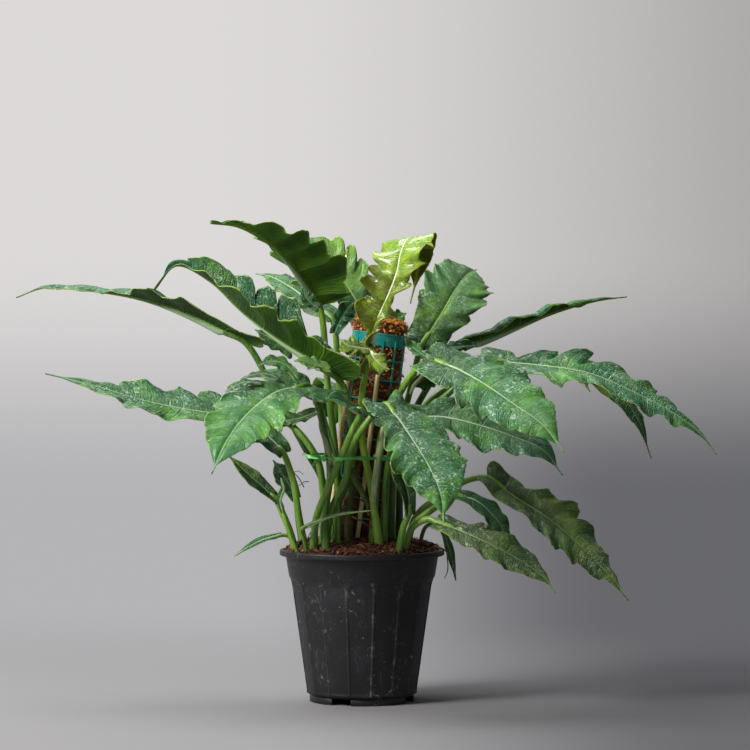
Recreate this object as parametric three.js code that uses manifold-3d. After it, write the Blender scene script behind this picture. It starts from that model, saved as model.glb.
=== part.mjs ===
// Split-leaf philodendron in a black nursery pot, tied to a coir pole in a plastic mesh.
// Millimetres, +Z up. The origin is on the pot's axis, at the level that its foot stands on.
import * as THREE from 'three';
import { mergeVertices } from 'three/addons/utils/BufferGeometryUtils.js';
import Module from 'manifold-3d';

const wasm = await Module();
wasm.setup();

// Pot
const potHeight = 184;
const rimRadius = 100;
const rimBand = 7;
const collarTopRadius = 93.2;
const collarFoot = 152;
const collarFootRadius = 88.6;
const bodyTop = 149;
const bodyTopRadius = 86;
const bodyFoot = 10;
const bodyFootRadius = 66.3;
const footRadius = 63.5;
const footWidth = 4.5;
const footGroove = 1.2;
const potWall = 2;
const potFloor = 12;
const panelCount = 16;
const ribHeight = 1.2;
const ribHalfAngle = 1.4;
const firstRibAngle = 10.2;
const drainSlots = 4;
const drainSlotHeight = 8;

// Soil
const soilCrown = 197;
const soilEdge = 185;
const soilFit = 0.5;
const soilSides = 24;
const holeClearance = 0.4;
const footDepth = 166;

// Pole, stakes, stem and tie
const poleFoot = [-13, 7, 172];
const poleLean = 7.1;
const poleLength = 290;
const cageRadius = 31;
const cageWall = 1.6;
const coreRadius = 29.4;
const cageBandHeight = 15;
const cageRingGap = 70;
const cageRings = 3;
const cageSlats = 6;
const stakeRadius = 2.5;
const stakes = [
  { name: 'stake_left', offset: [-31, -22], length: 240 },
  { name: 'stake_right', offset: [4, -37], length: 226 },
];
const stemPath = [[-17, -35, 166], [-18, -36, 215], [-15, -37, 258], [-12, -36, 300]];
const stemRadius = 7.5;
const tieHeight = 298;
const tieWidth = 5;
const tieThickness = 0.9;
const tieRoom = 0.7;
const tieRound = ['center_dark', 'right_mid', 'right_front', 'right_long', 'right_upper', 'right_hanging',
  'back_right', 'back_centre', 'far_left', 'left_low', 'front_left'];
const tieKnotRadius = 4;
const tieKnotAway = 6.2;
const tieTails = [[[-6, -2, 1], [-14, -9, 3], [-21, -11, 6]], [[-6, -2, -1], [-14, -10, -6], [-20, -13, -12]]];

// Leaves. foot is where the petiole enters the soil, stalk the points it climbs through,
// rib the midrib from ears to tip, face the way the upper side looks. half is half the
// blade's greatest width, fold the rise of each side in degrees, lobes the lobes a side,
// cut how deep the gaps between them are left and right, wave the height of the margin's waves.
// Some also have keep, the share of the fold left at the tip, ears and sweep, how far the ears
// sweep back and the lobes forwards, and taper, how hollow the outline runs to the tip.
const leafTable = {
  far_left: {
    foot: [-46, 14], stalk: [[-47, 12, 262], [-66, 14, 300], [-103, 16, 366]],
    rib: [[-141, 18, 435], [-202, 24, 465], [-256, 30, 484], [-324, 38, 497], [-389, 46, 502], [-424.6, 52, 490]],
    face: [0.1, 0.14, 1], half: 40, broad: 0.26, fold: 26, lobes: 5, cut: [0.3, 0.4], wave: 3, ears: -1.9,
  },
  upper_left: {
    foot: [-31, -42], stalk: [[-31, -45, 233], [-16, -58, 274], [-11, -62, 306], [-13, -67, 343]],
    rib: [[-24, -76, 389], [-60, -73, 415], [-101, -71, 441], [-142, -71, 472], [-181, -72, 509], [-221, -74, 527],
      [-247, -76, 498]],
    face: [0.49, -0.59, 0.65], half: 52, broad: 0.26, fold: 83, lobes: 5, cut: [0.3, 0.6], wave: 5, taper: 1.35, keep: 0.42,
  },
  left_low: {
    foot: [-47, -36], stalk: [[-47, -41, 259], [-55, -42, 298]],
    rib: [[-91, -28, 340], [-134, -32, 345], [-188, -38, 352], [-255, -46, 365], [-325, -54, 386], [-378, -60, 399]],
    face: [0, -0.5, 0.87], half: 34, broad: 0.34, fold: 16, lobes: 5, cut: [0.3, 0.36], wave: 4,
  },
  front_left: {
    foot: [-41, -71], stalk: [[-44, -72, 228], [-38, -71, 276], [-42, -74, 316]],
    rib: [[-62, -84, 384], [-97, -112, 380], [-132, -155, 355], [-157, -188, 322], [-173, -205, 286]],
    face: [-0.3, -0.88, 0.42], half: 49, broad: 0.38, fold: 10, lobes: 5, cut: [0.38, 0.5], wave: 4, ears: -1.3,
  },
  top_left: {
    foot: [-34, -28], stalk: [[-29, -28, 245], [-33, -28, 311], [-41, -22, 380]],
    rib: [[-50, -10, 478], [-70, -32, 509], [-92, -56, 536], [-116, -82, 557], [-146, -108, 573], [-177, -132, 577]],
    face: [0.28, 0.2, 0.94], half: 66, broad: 0.2, fold: 24, lobes: 5, cut: [0.34, 0.6], wave: 4, keep: 1, taper: 1.4, sweep: 0,
  },
  top_back: {
    foot: [-8, 54], stalk: [[0, 60, 326], [2, 66, 388]],
    rib: [[5, 72, 464], [-15, 78, 498], [-35, 84, 526], [-60, 90, 550], [-90, 98, 565]],
    face: [-0.2, -0.7, 0.7], half: 38, broad: 0.3, fold: 18, lobes: 5, cut: [0.42, 0.3], wave: 4,
  },
  back_left: {
    foot: [-34, 50], stalk: [[-25, 54, 327], [-29, 58, 388]],
    rib: [[-37, 62, 464], [-62, 82, 482], [-87, 104, 501], [-113, 128, 515], [-134, 150, 520]],
    face: [-0.1, -0.6, 0.8], half: 24, broad: 0.3, fold: 18, lobes: 4, cut: [0.4, 0.4], wave: 3,
  },
  young: {
    foot: [24, -63], stalk: [[11, -66, 262], [0, -64, 322], [-1, -58, 362]],
    rib: [[4, -52, 401], [10, -56, 435], [19, -58, 465], [31, -58, 492], [41, -57, 519], [49, -50, 541],
      [60, -28, 552], [69, -8, 528], [59, 0, 482]],
    face: [-0.6, -0.8, 0.1], half: 42, broad: 0.52, fold: 66, lobes: 6, cut: [0.5, 0.5], wave: 7, sweep: 0.1, keep: 0.05,
  },
  right_back_broad: {
    foot: [30, 48], stalk: [[44, 52, 314], [59, 50, 376]],
    rib: [[73, 48, 431], [95, 56, 465], [114, 72, 497], [130, 98, 518], [147, 134, 528]],
    face: [0.1, -1, 0.3], half: 43, broad: 0.5, fold: 10, lobes: 5, cut: [0.36, 0.42], wave: 4,
  },
  right_upper: {
    foot: [44, 30], stalk: [[52, 36, 315], [78, 34, 376]],
    rib: [[117, 30, 427], [159, 36, 442], [205, 44, 459], [249, 54, 475], [290, 64, 486], [326, 74, 491]],
    face: [0, 0.3, 0.95], half: 26, broad: 0.26, fold: 26, lobes: 4, cut: [0.3, 0.3], wave: 3,
  },
  right_long: {
    foot: [34, -8], stalk: [[42, -10, 293], [70, -16, 344], [106, -22, 375]],
    rib: [[142, -26, 416], [184, -32, 411], [227, -38, 407], [273, -44, 399], [321, -48, 379], [369, -52, 354],
      [404, -56, 328], [424.5, -58, 302]],
    face: [0.15, -0.55, 0.85], half: 42, broad: 0.3, fold: 16, lobes: 6, cut: [0.56, 0.44], wave: 4,
  },
  right_front: {
    foot: [12, -45], stalk: [[16, -48, 252], [24, -52, 326], [41, -58, 366], [62, -72, 400]],
    rib: [[81, -84, 416], [109, -102, 407], [141, -124, 390], [178, -148, 365], [210, -168, 342], [235, -182, 310]],
    face: [0.27, -0.86, 0.5], half: 48, broad: 0.34, fold: 8, lobes: 5, cut: [0.34, 0.48], wave: 4,
  },
  right_mid: {
    foot: [25, -51], stalk: [[27, -55, 229], [33, -62, 297]],
    rib: [[51, -78, 346], [93, -80, 348], [137, -88, 339], [180, -100, 325], [214, -110, 310], [237, -116, 280]],
    face: [0.25, -0.75, 0.65], half: 37, broad: 0.38, fold: 12, lobes: 5, cut: [0.2, 0.32], wave: 4,
  },
  front_right: {
    foot: [-46, -51], stalk: [[-37, -62, 233], [-19, -80, 274], [-14, -88, 306], [5, -94, 339]],
    rib: [[29, -100, 364], [45, -120, 345], [64, -146, 317], [80, -170, 291], [92, -191, 262], [95, -205, 229]],
    face: [0.35, -0.9, 0.3], half: 47, broad: 0.38, fold: 10, lobes: 5, cut: [0.24, 0.46], wave: 4,
  },
  low_right: {
    foot: [48, -22], stalk: [[67, -24, 227], [99, -22, 251], [128, -20, 269]],
    rib: [[152, -22, 272], [190, -30, 246], [226, -38, 223], [260, -46, 194], [294, -54, 159], [319, -60, 127]],
    face: [0.44, -0.75, 0.5], half: 37, broad: 0.34, fold: 20, lobes: 5, cut: [0.36, 0.3], wave: 4,
  },
  small_dark: {
    foot: [46, -42], stalk: [[60, -46, 213], [84, -52, 235]],
    rib: [[112, -56, 253], [136, -62, 247], [157, -68, 229], [170, -74, 208], [175, -78, 184]],
    face: [0.4, -0.7, 0.6], half: 17, broad: 0.4, fold: 12, lobes: 3, cut: [0.08, 0.12], wave: 2,
  },
  low_right_2: {
    foot: [46, -60], stalk: [[60, -66, 214], [79, -74, 225]],
    rib: [[91, -82, 222], [120, -94, 212], [154, -104, 197], [189, -108, 178], [214, -114, 160], [229, -118, 142]],
    face: [0.3, -0.7, 0.65], half: 26, broad: 0.4, fold: 12, lobes: 4, cut: [0.14, 0.18], wave: 3,
  },
  narrow_right: {
    foot: [66, -4], stalk: [[78, -4, 212]],
    rib: [[95, -4, 215], [104, -4, 190], [110, -4, 167], [114, -4, 146]],
    face: [0.7, -0.7, 0], half: 7, broad: 0.4, fold: 14, lobes: 2, cut: [0, 0], wave: 1,
  },
  center_dark: {
    foot: [-58, -48], stalk: [[-54, -84, 227], [-41, -98, 261], [-25, -107, 299], [-10, -116, 334]],
    rib: [[1, -124, 357], [-14, -142, 363], [-27, -160, 370], [-40, -178, 372]],
    face: [0, -0.6, 0.8], half: 20, broad: 0.35, fold: 12, lobes: 3, cut: [0.2, 0.25], wave: 2,
  },
  shaded: {
    foot: [42, -72], stalk: [[49, -76, 214]],
    rib: [[57, -80, 233], [55, -84, 257], [46, -88, 283], [38, -90, 310]],
    face: [0.3, -0.95, 0.2], half: 13, broad: 0.5, fold: 20, lobes: 2, cut: [0, 0], wave: 1,
  },
  left_narrow: {
    foot: [-76, -32], stalk: [[-86, -34, 206], [-96, -36, 231]],
    rib: [[-102, -38, 246], [-120, -44, 263], [-140, -50, 281], [-161, -56, 302]],
    face: [0.2, -0.3, 0.9], half: 12, broad: 0.35, fold: 20, lobes: 3, cut: [0.1, 0.1], wave: 2,
  },
  left_small: {
    foot: [-70, 36], stalk: [[-78, 38, 217]],
    rib: [[-81, 38, 245], [-91, 40, 263], [-109, 44, 290]],
    face: [0.2, -0.9, 0.3], half: 14, broad: 0.4, fold: 14, lobes: 3, cut: [0.25, 0.3], wave: 2,
  },
  rolled: {
    foot: [-70, -46], stalk: [[-88, -52, 211]],
    rib: [[-95, -54, 233], [-98, -56, 247], [-94, -57, 260], [-97, -58, 273]],
    face: [-0.6, -0.8, 0], half: 5, broad: 0.4, fold: 50, lobes: 2, cut: [0, 0], wave: 0,
  },
  crossing: {
    foot: [-62, -54], stalk: [[-70, -66, 206]],
    rib: [[-71, -86, 216], [-52, -100, 225], [-20, -108, 234], [11, -112, 238]],
    face: [0, -0.3, 0.95], half: 5, broad: 0.4, fold: 20, lobes: 2, cut: [0, 0], wave: 0,
  },
  low_left_narrow: {
    foot: [-78, -12], stalk: [[-88, -14, 200]],
    rib: [[-98, -18, 203], [-120, -24, 197], [-140, -28, 187], [-154, -30, 178]],
    face: [0, -0.5, 0.85], half: 6, broad: 0.4, fold: 20, lobes: 2, cut: [0, 0], wave: 0,
  },
  left_under: {
    foot: [-66, 8], stalk: [[-77, 8, 225], [-84, 12, 267]],
    rib: [[-96, 16, 301], [-112, 26, 318], [-135, 40, 334], [-157, 56, 342]],
    face: [-0.2, -0.6, 0.75], half: 20, broad: 0.35, fold: 12, lobes: 4, cut: [0.3, 0.36], wave: 3,
  },
  right_hanging: {
    foot: [32, 66], stalk: [[47, 74, 301], [84, 84, 362]],
    rib: [[154, 104, 400], [209, 112, 408], [262, 116, 403], [308, 112, 380], [340, 104, 343], [359, 96, 290]],
    face: [0.4, -0.6, 0.6], half: 24, broad: 0.45, fold: 12, lobes: 4, cut: [0.2, 0.24], wave: 3,
  },
  spear: {
    foot: [-28, -60], stalk: [[-29, -59, 250]],
    rib: [[-33, -54, 301], [-45, -50, 343], [-57, -46, 383]],
    face: [-0.3, -0.9, 0.2], half: 4, broad: 0.4, fold: 50, lobes: 2, cut: [0, 0], wave: 0,
  },
  back_centre: {
    foot: [-18, 64], stalk: [[-18, 74, 262], [-20, 84, 318]],
    rib: [[-22, 96, 366], [-25, 124, 378], [-29, 154, 374], [-33, 182, 352], [-36, 205, 322]],
    face: [0, 0.6, 0.8], half: 40, broad: 0.34, fold: 14, lobes: 5, cut: [0.42, 0.42], wave: 4,
  },
  back_right: {
    foot: [10, 62], stalk: [[20, 74, 258], [30, 86, 306]],
    rib: [[40, 98, 346], [50, 124, 352], [60, 152, 342], [68, 178, 318], [74, 200, 288]],
    face: [0.2, 0.6, 0.8], half: 36, broad: 0.34, fold: 14, lobes: 5, cut: [0.42, 0.42], wave: 4,
  },
};
const petioleFootRadius = 4.2;
const petioleTopRadius = 2.6;
const petioleSides = 6;
const petioleStep = 42;
const bladeThickness = 1.2;
const keelDepth = 2.2;
const smallLeaf = 26;
const thinStalk = 10;
const ribSamples = 60;
const earSweep = -1;
const foldKept = 0.4;
const bladeTaper = 1.05;
const lobeSweep = 0.45;
const lobedShare = 0.8;
const lobeTip = 0.76;
const tailStart = 0.95;
const tailWidth = 1.8;

// Materials
const colours = {
  leaf: 0x2f6b35, youngLeaf: 0x8fbf3a, stem: 0x6b8f3f, plastic: 0x1b1d1f, soil: 0x5a3320,
  mesh: 0x1f9a8c, coir: 0x8a5226, bamboo: 0xd8c68a, ribbon: 0x3fae4a,
};

function finish(colour, roughness, metalness = 0) {
  return new THREE.MeshStandardMaterial({ color: colour, roughness, metalness });
}

// Solids and geometries
function toSolid(geometry) {
  const bare = geometry.index ? geometry.toNonIndexed() : geometry.clone();
  bare.deleteAttribute('normal');
  bare.deleteAttribute('uv');
  const merged = mergeVertices(bare, 1e-3);
  return new wasm.Manifold(new wasm.Mesh({
    numProp: 3,
    vertProperties: new Float32Array(merged.attributes.position.array),
    triVerts: new Uint32Array(merged.index.array),
  }));
}

function toGeometry(solid) {
  const mesh = solid.getMesh();
  const geometry = new THREE.BufferGeometry();
  geometry.setAttribute('position', new THREE.BufferAttribute(mesh.vertProperties, 3));
  geometry.setIndex(new THREE.BufferAttribute(mesh.triVerts, 1));
  geometry.computeVertexNormals();
  return geometry;
}

// A skin over rings of points, closed by a strip across the first and last ring. The second
// half of each ring is split along the other diagonal, so both faces of a blade split alike.
function loft(rings, closed = false) {
  const count = rings[0].length;
  const faces = [];
  const quad = (a, b, c, d, other) => {
    if (other) faces.push([a, b, d], [b, c, d]);
    else faces.push([a, b, c], [a, c, d]);
  };
  const last = rings.length - (closed ? 0 : 1);
  for (let i = 0; i < last; i += 1) {
    const here = rings[i];
    const next = rings[(i + 1) % rings.length];
    for (let k = 0; k < count; k += 1) {
      const n = (k + 1) % count;
      quad(here[k], here[n], next[n], next[k], k >= count / 2);
    }
  }
  if (!closed) {
    for (const [ring, end] of [[rings[0], false], [rings[rings.length - 1], true]]) {
      for (let k = 0; k < count / 2 - 1; k += 1) {
        const strip = [ring[k], ring[k + 1], ring[count - 2 - k], ring[count - 1 - k]];
        if (!end) strip.reverse();
        quad(...strip, false);
      }
    }
  }
  const geometry = new THREE.BufferGeometry();
  const points = faces.flat().flatMap((p) => [p.x, p.y, p.z]);
  geometry.setAttribute('position', new THREE.Float32BufferAttribute(points, 3));
  return geometry;
}

// A solid from a loft, whichever way round its rings run
function loftSolid(rings, closed = false) {
  const solid = toSolid(loft(rings, closed));
  if (solid.volume() > 0) return solid;
  return toSolid(loft(rings.map((ring) => [...ring].reverse()), closed));
}

function curveThrough(points) {
  return new THREE.CatmullRomCurve3(points.map((p) => new THREE.Vector3(...p)), false, 'centripetal');
}

function barSteps(curve, step) {
  return Math.max(3, Math.round(curve.getLength() / step));
}

// A round bar along a curve, its radius changing from end to end
function bar(curve, firstRadius, lastRadius, sides, step) {
  const steps = barSteps(curve, step);
  const frames = curve.computeFrenetFrames(steps);
  const rings = [];
  for (let i = 0; i <= steps; i += 1) {
    const t = i / steps;
    const centre = curve.getPointAt(t);
    const radius = firstRadius + (lastRadius - firstRadius) * t;
    const ring = [];
    for (let k = 0; k < sides; k += 1) {
      const angle = (2 * Math.PI * k) / sides;
      ring.push(centre.clone()
        .addScaledVector(frames.normals[i], radius * Math.cos(angle))
        .addScaledVector(frames.binormals[i], radius * Math.sin(angle)));
    }
    rings.push(ring);
  }
  return loftSolid(rings);
}

// Pot
function potRing(radius, z, rib) {
  const ring = [];
  const period = 360 / panelCount;
  const flat = Math.cos(THREE.MathUtils.degToRad(period / 2));
  for (let i = 0; i < panelCount; i += 1) {
    const spots = [[0, radius + rib], [ribHalfAngle, radius], [period / 2, rib ? radius * flat : radius],
      [period - ribHalfAngle, radius]];
    for (const [turn, r] of spots) {
      const angle = THREE.MathUtils.degToRad(firstRibAngle - 90 + i * period + turn);
      ring.push(new THREE.Vector3(r * Math.cos(angle), r * Math.sin(angle), z));
    }
  }
  return ring;
}

function pot() {
  const inner = (radius) => radius - potWall;
  const rings = [
    potRing(inner(bodyFootRadius), potFloor, 0),
    potRing(inner(bodyTopRadius) - 2, bodyTop, 0),
    potRing(inner(collarTopRadius), potHeight - rimBand, 0),
    potRing(rimRadius - 5, potHeight, 0),
    potRing(rimRadius, potHeight, 0),
    potRing(rimRadius, potHeight - rimBand, 0),
    potRing(collarTopRadius, potHeight - rimBand, 0),
    potRing(collarFootRadius, collarFoot, 0),
    potRing(bodyTopRadius, bodyTop, ribHeight),
    potRing(bodyFootRadius, bodyFoot, ribHeight),
    potRing(footRadius - footGroove, bodyFoot - 1, 0),
    potRing(footRadius, bodyFoot - 2, 0),
    potRing(footRadius, 0, 0),
    potRing(footRadius - footWidth, 0, 0),
    potRing(footRadius - footWidth, potFloor - 3, 0),
  ];
  let solid = loftSolid(rings);
  const slotWidth = 2 * footRadius * Math.sin(THREE.MathUtils.degToRad(180 / panelCount));
  for (let i = 0; i < drainSlots; i += 1) {
    const slot = new THREE.BoxGeometry(12, slotWidth, drainSlotHeight + 4);
    slot.translate(footRadius - 1, 0, drainSlotHeight / 2 - 2);
    const middle = firstRibAngle + 2.5 * (360 / panelCount) - 90 + (i * 360) / drainSlots;
    slot.rotateZ(THREE.MathUtils.degToRad(middle));
    solid = solid.subtract(toSolid(slot));
  }
  return solid;
}

// Soil
function soil(holes) {
  const wall = (z) => {
    const share = (z - potFloor) / (bodyTop - potFloor);
    return bodyFootRadius + (bodyTopRadius - 2 - bodyFootRadius) * share - potWall - soilFit;
  };
  const edge = rimRadius - 7.5;
  const profile = [
    [0, potFloor + soilFit], [wall(potFloor) - 1, potFloor + soilFit], [wall(bodyTop) - 1, bodyTop],
    [collarTopRadius - potWall - 2, potHeight - rimBand], [edge, soilEdge - 2], [edge - 3, soilEdge + 1],
    [74, soilEdge + 7], [52, soilCrown - 3], [30, soilCrown], [13, soilCrown], [0, soilCrown],
  ];
  const lathe = new THREE.LatheGeometry(profile.map(([r, z]) => new THREE.Vector2(r, z)), soilSides);
  lathe.rotateX(Math.PI / 2);
  const place = lathe.attributes.position;
  for (let i = 0; i < place.count; i += 1) {
    const x = place.getX(i);
    const y = place.getY(i);
    const top = place.getZ(i) > soilEdge + 3;
    if (top) place.setZ(i, place.getZ(i) + 1.6 * Math.sin(x / 7.3 + 1) * Math.cos(y / 6.1) + 1.2 * Math.sin((x - y) / 11));
  }
  let solid = toSolid(lathe);
  if (solid.volume() < 0) {
    const swapped = toGeometry(solid);
    swapped.setIndex([...swapped.index.array].reverse());
    solid = toSolid(swapped);
  }
  for (const hole of holes) solid = solid.subtract(hole);
  return solid;
}

// Pole: coir core, plastic mesh round it, two stakes beside it
function onPole(geometry) {
  geometry.rotateY(THREE.MathUtils.degToRad(poleLean));
  geometry.translate(...poleFoot);
  return geometry;
}

function ringBand(radius, wall, low, high, sides) {
  const profile = [[radius, low], [radius + wall, low], [radius + wall, high], [radius, high], [radius, low]];
  const band = new THREE.LatheGeometry(profile.map(([r, z]) => new THREE.Vector2(r, z)), sides);
  band.rotateX(Math.PI / 2);
  return band;
}

function uprightCylinder(radius, low, high, sides) {
  const cylinder = new THREE.CylinderGeometry(radius, radius, high - low, sides);
  cylinder.rotateX(Math.PI / 2);
  cylinder.translate(0, 0, (low + high) / 2);
  return cylinder;
}

function poleCore(extra = 0) {
  const cage = cageRadius + cageWall + holeClearance;
  const radius = extra ? cage : coreRadius;
  return toSolid(onPole(uprightCylinder(radius, -extra, poleLength, 12)));
}

function poleCage() {
  const top = poleLength - 14;
  const bands = [[top - cageBandHeight, top]];
  for (let i = 1; i <= cageRings; i += 1) bands.push([top - 8 - i * cageRingGap, top - 5 - i * cageRingGap]);
  let solid = null;
  for (const [low, high] of bands) {
    const band = toSolid(onPole(ringBand(cageRadius, cageWall, low, high, 12)));
    solid = solid ? solid.add(band) : band;
  }
  for (let i = 0; i < cageSlats; i += 1) {
    const slat = new THREE.BoxGeometry(cageWall, 3, top - 18);
    slat.translate(cageRadius + cageWall / 2 - 0.9, 0, (top - 2 + 16) / 2);
    slat.rotateZ((2 * Math.PI * (i + 0.35)) / cageSlats);
    solid = solid.add(toSolid(onPole(slat)));
  }
  return solid;
}

function stake({ offset, length }, extra = 0) {
  const rod = uprightCylinder(stakeRadius + extra, -extra, length, 8);
  rod.translate(offset[0], offset[1], 0);
  return toSolid(onPole(rod));
}

function stem(extra = 0) {
  return bar(curveThrough(stemPath), stemRadius + extra, stemRadius - 1 + extra, 8, 22);
}

// Where a leaf's stalk passes a height, and how far it reaches from there over the ribbon's width
function stalkAt(name, height) {
  const curve = petioleCurve(leafTable[name], ribFrames(leafTable[name]));
  const steps = barSteps(curve, petioleStep);
  const points = curve.getSpacedPoints(steps);
  const above = points.findIndex((point) => point.z >= height);
  const share = (height - points[above - 1].z) / (points[above].z - points[above - 1].z);
  const along = (above - 1 + share) / steps;
  const run = points[above].clone().sub(points[above - 1]);
  const lean = (Math.hypot(run.x, run.y) / run.z) * (tieWidth / 2);
  const radius = petioleFootRadius + (petioleTopRadius - petioleFootRadius) * along;
  return { centre: points[above - 1].clone().lerp(points[above], share), reach: radius + lean };
}

// Ribbon pulled taut round the outer stalks, with its knot at the front left and two loose ends
function tie() {
  const stalks = tieRound.map((name) => stalkAt(name, tieHeight));
  const rings = [];
  const turn = (a, b) => Math.atan2(b.centre.y - a.centre.y, b.centre.x - a.centre.x) - Math.PI / 2;
  for (let i = 0; i < stalks.length; i += 1) {
    const here = stalks[i];
    const before = turn(stalks[(i + stalks.length - 1) % stalks.length], here);
    const swing = THREE.MathUtils.euclideanModulo(turn(here, stalks[(i + 1) % stalks.length]) - before, 2 * Math.PI);
    const bends = Math.max(1, Math.round(swing / 0.5));
    for (let k = 0; k <= bends; k += 1) {
      const angle = before + (swing * k) / bends;
      const out = new THREE.Vector3(Math.cos(angle), Math.sin(angle), 0);
      const centre = here.centre.clone().addScaledVector(out, here.reach + tieRoom + tieThickness / 2);
      const corner = (a, b) => centre.clone().addScaledVector(out, a * tieThickness / 2)
        .add(new THREE.Vector3(0, 0, b * tieWidth / 2));
      rings.push([corner(-1, -1), corner(1, -1), corner(1, 1), corner(-1, 1)]);
    }
  }
  let solid = loftSolid(rings, true);
  const knotStalk = stalks[stalks.length - 1].centre;
  const knotPlace = [knotStalk.x - tieKnotAway, knotStalk.y - tieKnotAway + 1, tieHeight];
  const knot = new THREE.SphereGeometry(tieKnotRadius, 6, 4);
  knot.translate(...knotPlace);
  solid = solid.add(toSolid(knot));
  for (const tail of tieTails) {
    const path = [[0, 0, 0], ...tail].map((step) => step.map((value, axis) => value + knotPlace[axis]));
    solid = solid.add(bar(curveThrough(path), 1.6, 1.2, 4, 8));
  }
  return solid;
}

// Leaf blades
function smooth(x) {
  const t = Math.min(1, Math.max(0, x));
  return t * t * (3 - 2 * t);
}

function outline(leaf, u) {
  if (u < leaf.broad) return 0.56 + 0.44 * smooth(u / leaf.broad);
  const fallen = Math.min(1, (u - leaf.broad) / (tailStart - leaf.broad));
  return Math.max(0, Math.cos((Math.PI / 2) * fallen)) ** (leaf.taper ?? bladeTaper);
}

function lobe(f) {
  if (f < lobeTip) return Math.sin((Math.PI / 2) * (f / lobeTip)) ** 0.8;
  return Math.cos((Math.PI / 2) * ((f - lobeTip) / (1 - lobeTip)));
}

function halfWidth(leaf, u, side) {
  const f = (u / lobedShare) * leaf.lobes;
  const depth = leaf.cut[side < 0 ? 0 : 1] * (1 - 0.75 * u);
  const beyond = smooth((u - lobedShare) / (1 - lobedShare));
  const gap = u < lobedShare ? depth * (1 - lobe(f - Math.floor(f))) : depth * (1 - beyond);
  const tail = Math.min(tailWidth, 0.6 + 12 * (1 - u));
  return Math.max(tail, leaf.half * outline(leaf, u) * (1 - gap));
}

function bladeRows(leaf) {
  const rows = [0];
  const steps = leaf.half > smallLeaf ? [0.35, lobeTip, 0.99] : [lobeTip, 0.99];
  for (let i = 0; i < leaf.lobes; i += 1) {
    for (const f of steps) rows.push(((i + f) / leaf.lobes) * lobedShare);
  }
  rows.push(0.88, tailStart, 1);
  return rows;
}

// The midrib as samples of place, direction and the way the upper side faces. The facing is
// set in the middle of the blade and carried to both ends without twisting.
function ribFrames(leaf) {
  const curve = curveThrough(leaf.rib);
  const frames = [];
  for (let i = 0; i <= ribSamples; i += 1) {
    frames.push({ centre: curve.getPointAt(i / ribSamples), tangent: curve.getTangentAt(i / ribSamples) });
  }
  const middle = ribSamples / 2;
  const square = (up, tangent) => up.clone().addScaledVector(tangent, -up.dot(tangent)).normalize();
  frames[middle].up = square(new THREE.Vector3(...leaf.face), frames[middle].tangent);
  for (let i = middle + 1; i <= ribSamples; i += 1) frames[i].up = square(frames[i - 1].up, frames[i].tangent);
  for (let i = middle - 1; i >= 0; i -= 1) frames[i].up = square(frames[i + 1].up, frames[i].tangent);
  return { frames, length: curve.getLength() };
}

function frameAt(rib, along) {
  const inside = Math.min(1, Math.max(0, along)) * ribSamples;
  const first = Math.min(ribSamples - 1, Math.floor(inside));
  const share = inside - first;
  const a = rib.frames[first];
  const b = rib.frames[first + 1];
  const tangent = a.tangent.clone().lerp(b.tangent, share).normalize();
  const centre = a.centre.clone().lerp(b.centre, share);
  centre.addScaledVector(tangent, (along - inside / ribSamples) * rib.length);
  return { centre, tangent, up: a.up.clone().lerp(b.up, share).normalize() };
}

// A place on the blade: u runs from ears to tip, side from -1 to 1 across it. The lobes sweep
// forwards, the ears backwards, and both halves rise from the midrib.
function bladePoint(leaf, rib, u, side) {
  const v = Math.abs(side) * halfWidth(leaf, u, side);
  const ears = leaf.ears ?? earSweep;
  const sweep = ears + ((leaf.sweep ?? lobeSweep) - ears) * smooth(u / 0.2);
  const { centre, tangent, up } = frameAt(rib, u + (sweep * v * Math.abs(side)) / rib.length);
  const across = new THREE.Vector3().crossVectors(tangent, up);
  const fold = THREE.MathUtils.degToRad(leaf.fold * (1 - (1 - (leaf.keep ?? foldKept)) * u));
  const ripple = leaf.wave * Math.sin(2 * Math.PI * (3.2 * u + (side > 0 ? 0 : 0.37))) * Math.abs(side) ** 1.5;
  const spot = centre.addScaledVector(across, Math.sign(side) * v * Math.cos(fold))
    .addScaledVector(up, v * Math.sin(fold) + ripple * Math.min(1, v / 12));
  return { spot, up };
}

function blade(leaf) {
  const rib = ribFrames(leaf);
  const sides = leaf.half > smallLeaf ? [-1, -0.5, 0, 0.5, 1] : [-1, 0, 1];
  const rings = bladeRows(leaf).map((u) => {
    const upper = [];
    const lower = [];
    for (const side of sides) {
      const { spot, up } = bladePoint(leaf, rib, u, side);
      const keel = side === 0 ? keelDepth * (1 - u) * Math.min(1, leaf.half / 20) : 0;
      upper.push(spot);
      lower.unshift(spot.clone().addScaledVector(up, -bladeThickness - keel));
    }
    return [...upper, ...lower];
  });
  return loftSolid(rings);
}

function petioleCurve(leaf, rib) {
  const under = (along, depth) => {
    const { centre, up } = frameAt(rib, along);
    return centre.addScaledVector(up, -depth).toArray();
  };
  return curveThrough([[...leaf.foot, footDepth], ...leaf.stalk, under(0, 1.4), under(0.1, 1.6)]);
}

function petiole(leaf, extra = 0) {
  const thick = leaf.half > thinStalk ? 1 : 0.6;
  const curve = petioleCurve(leaf, ribFrames(leaf));
  return bar(curve, petioleFootRadius * thick + extra, petioleTopRadius * thick + extra, petioleSides, petioleStep);
}

// Assembly
const plant = new THREE.Group();

function place(name, solid, material) {
  const mesh = new THREE.Mesh(toGeometry(solid), material);
  mesh.name = name;
  plant.add(mesh);
}

const plantLeaves = Object.entries(leafTable);
const soilHoles = [
  ...plantLeaves.map(([, leaf]) => petiole(leaf, holeClearance)),
  poleCore(1), stem(holeClearance), ...stakes.map((rod) => stake(rod, holeClearance)),
];

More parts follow.
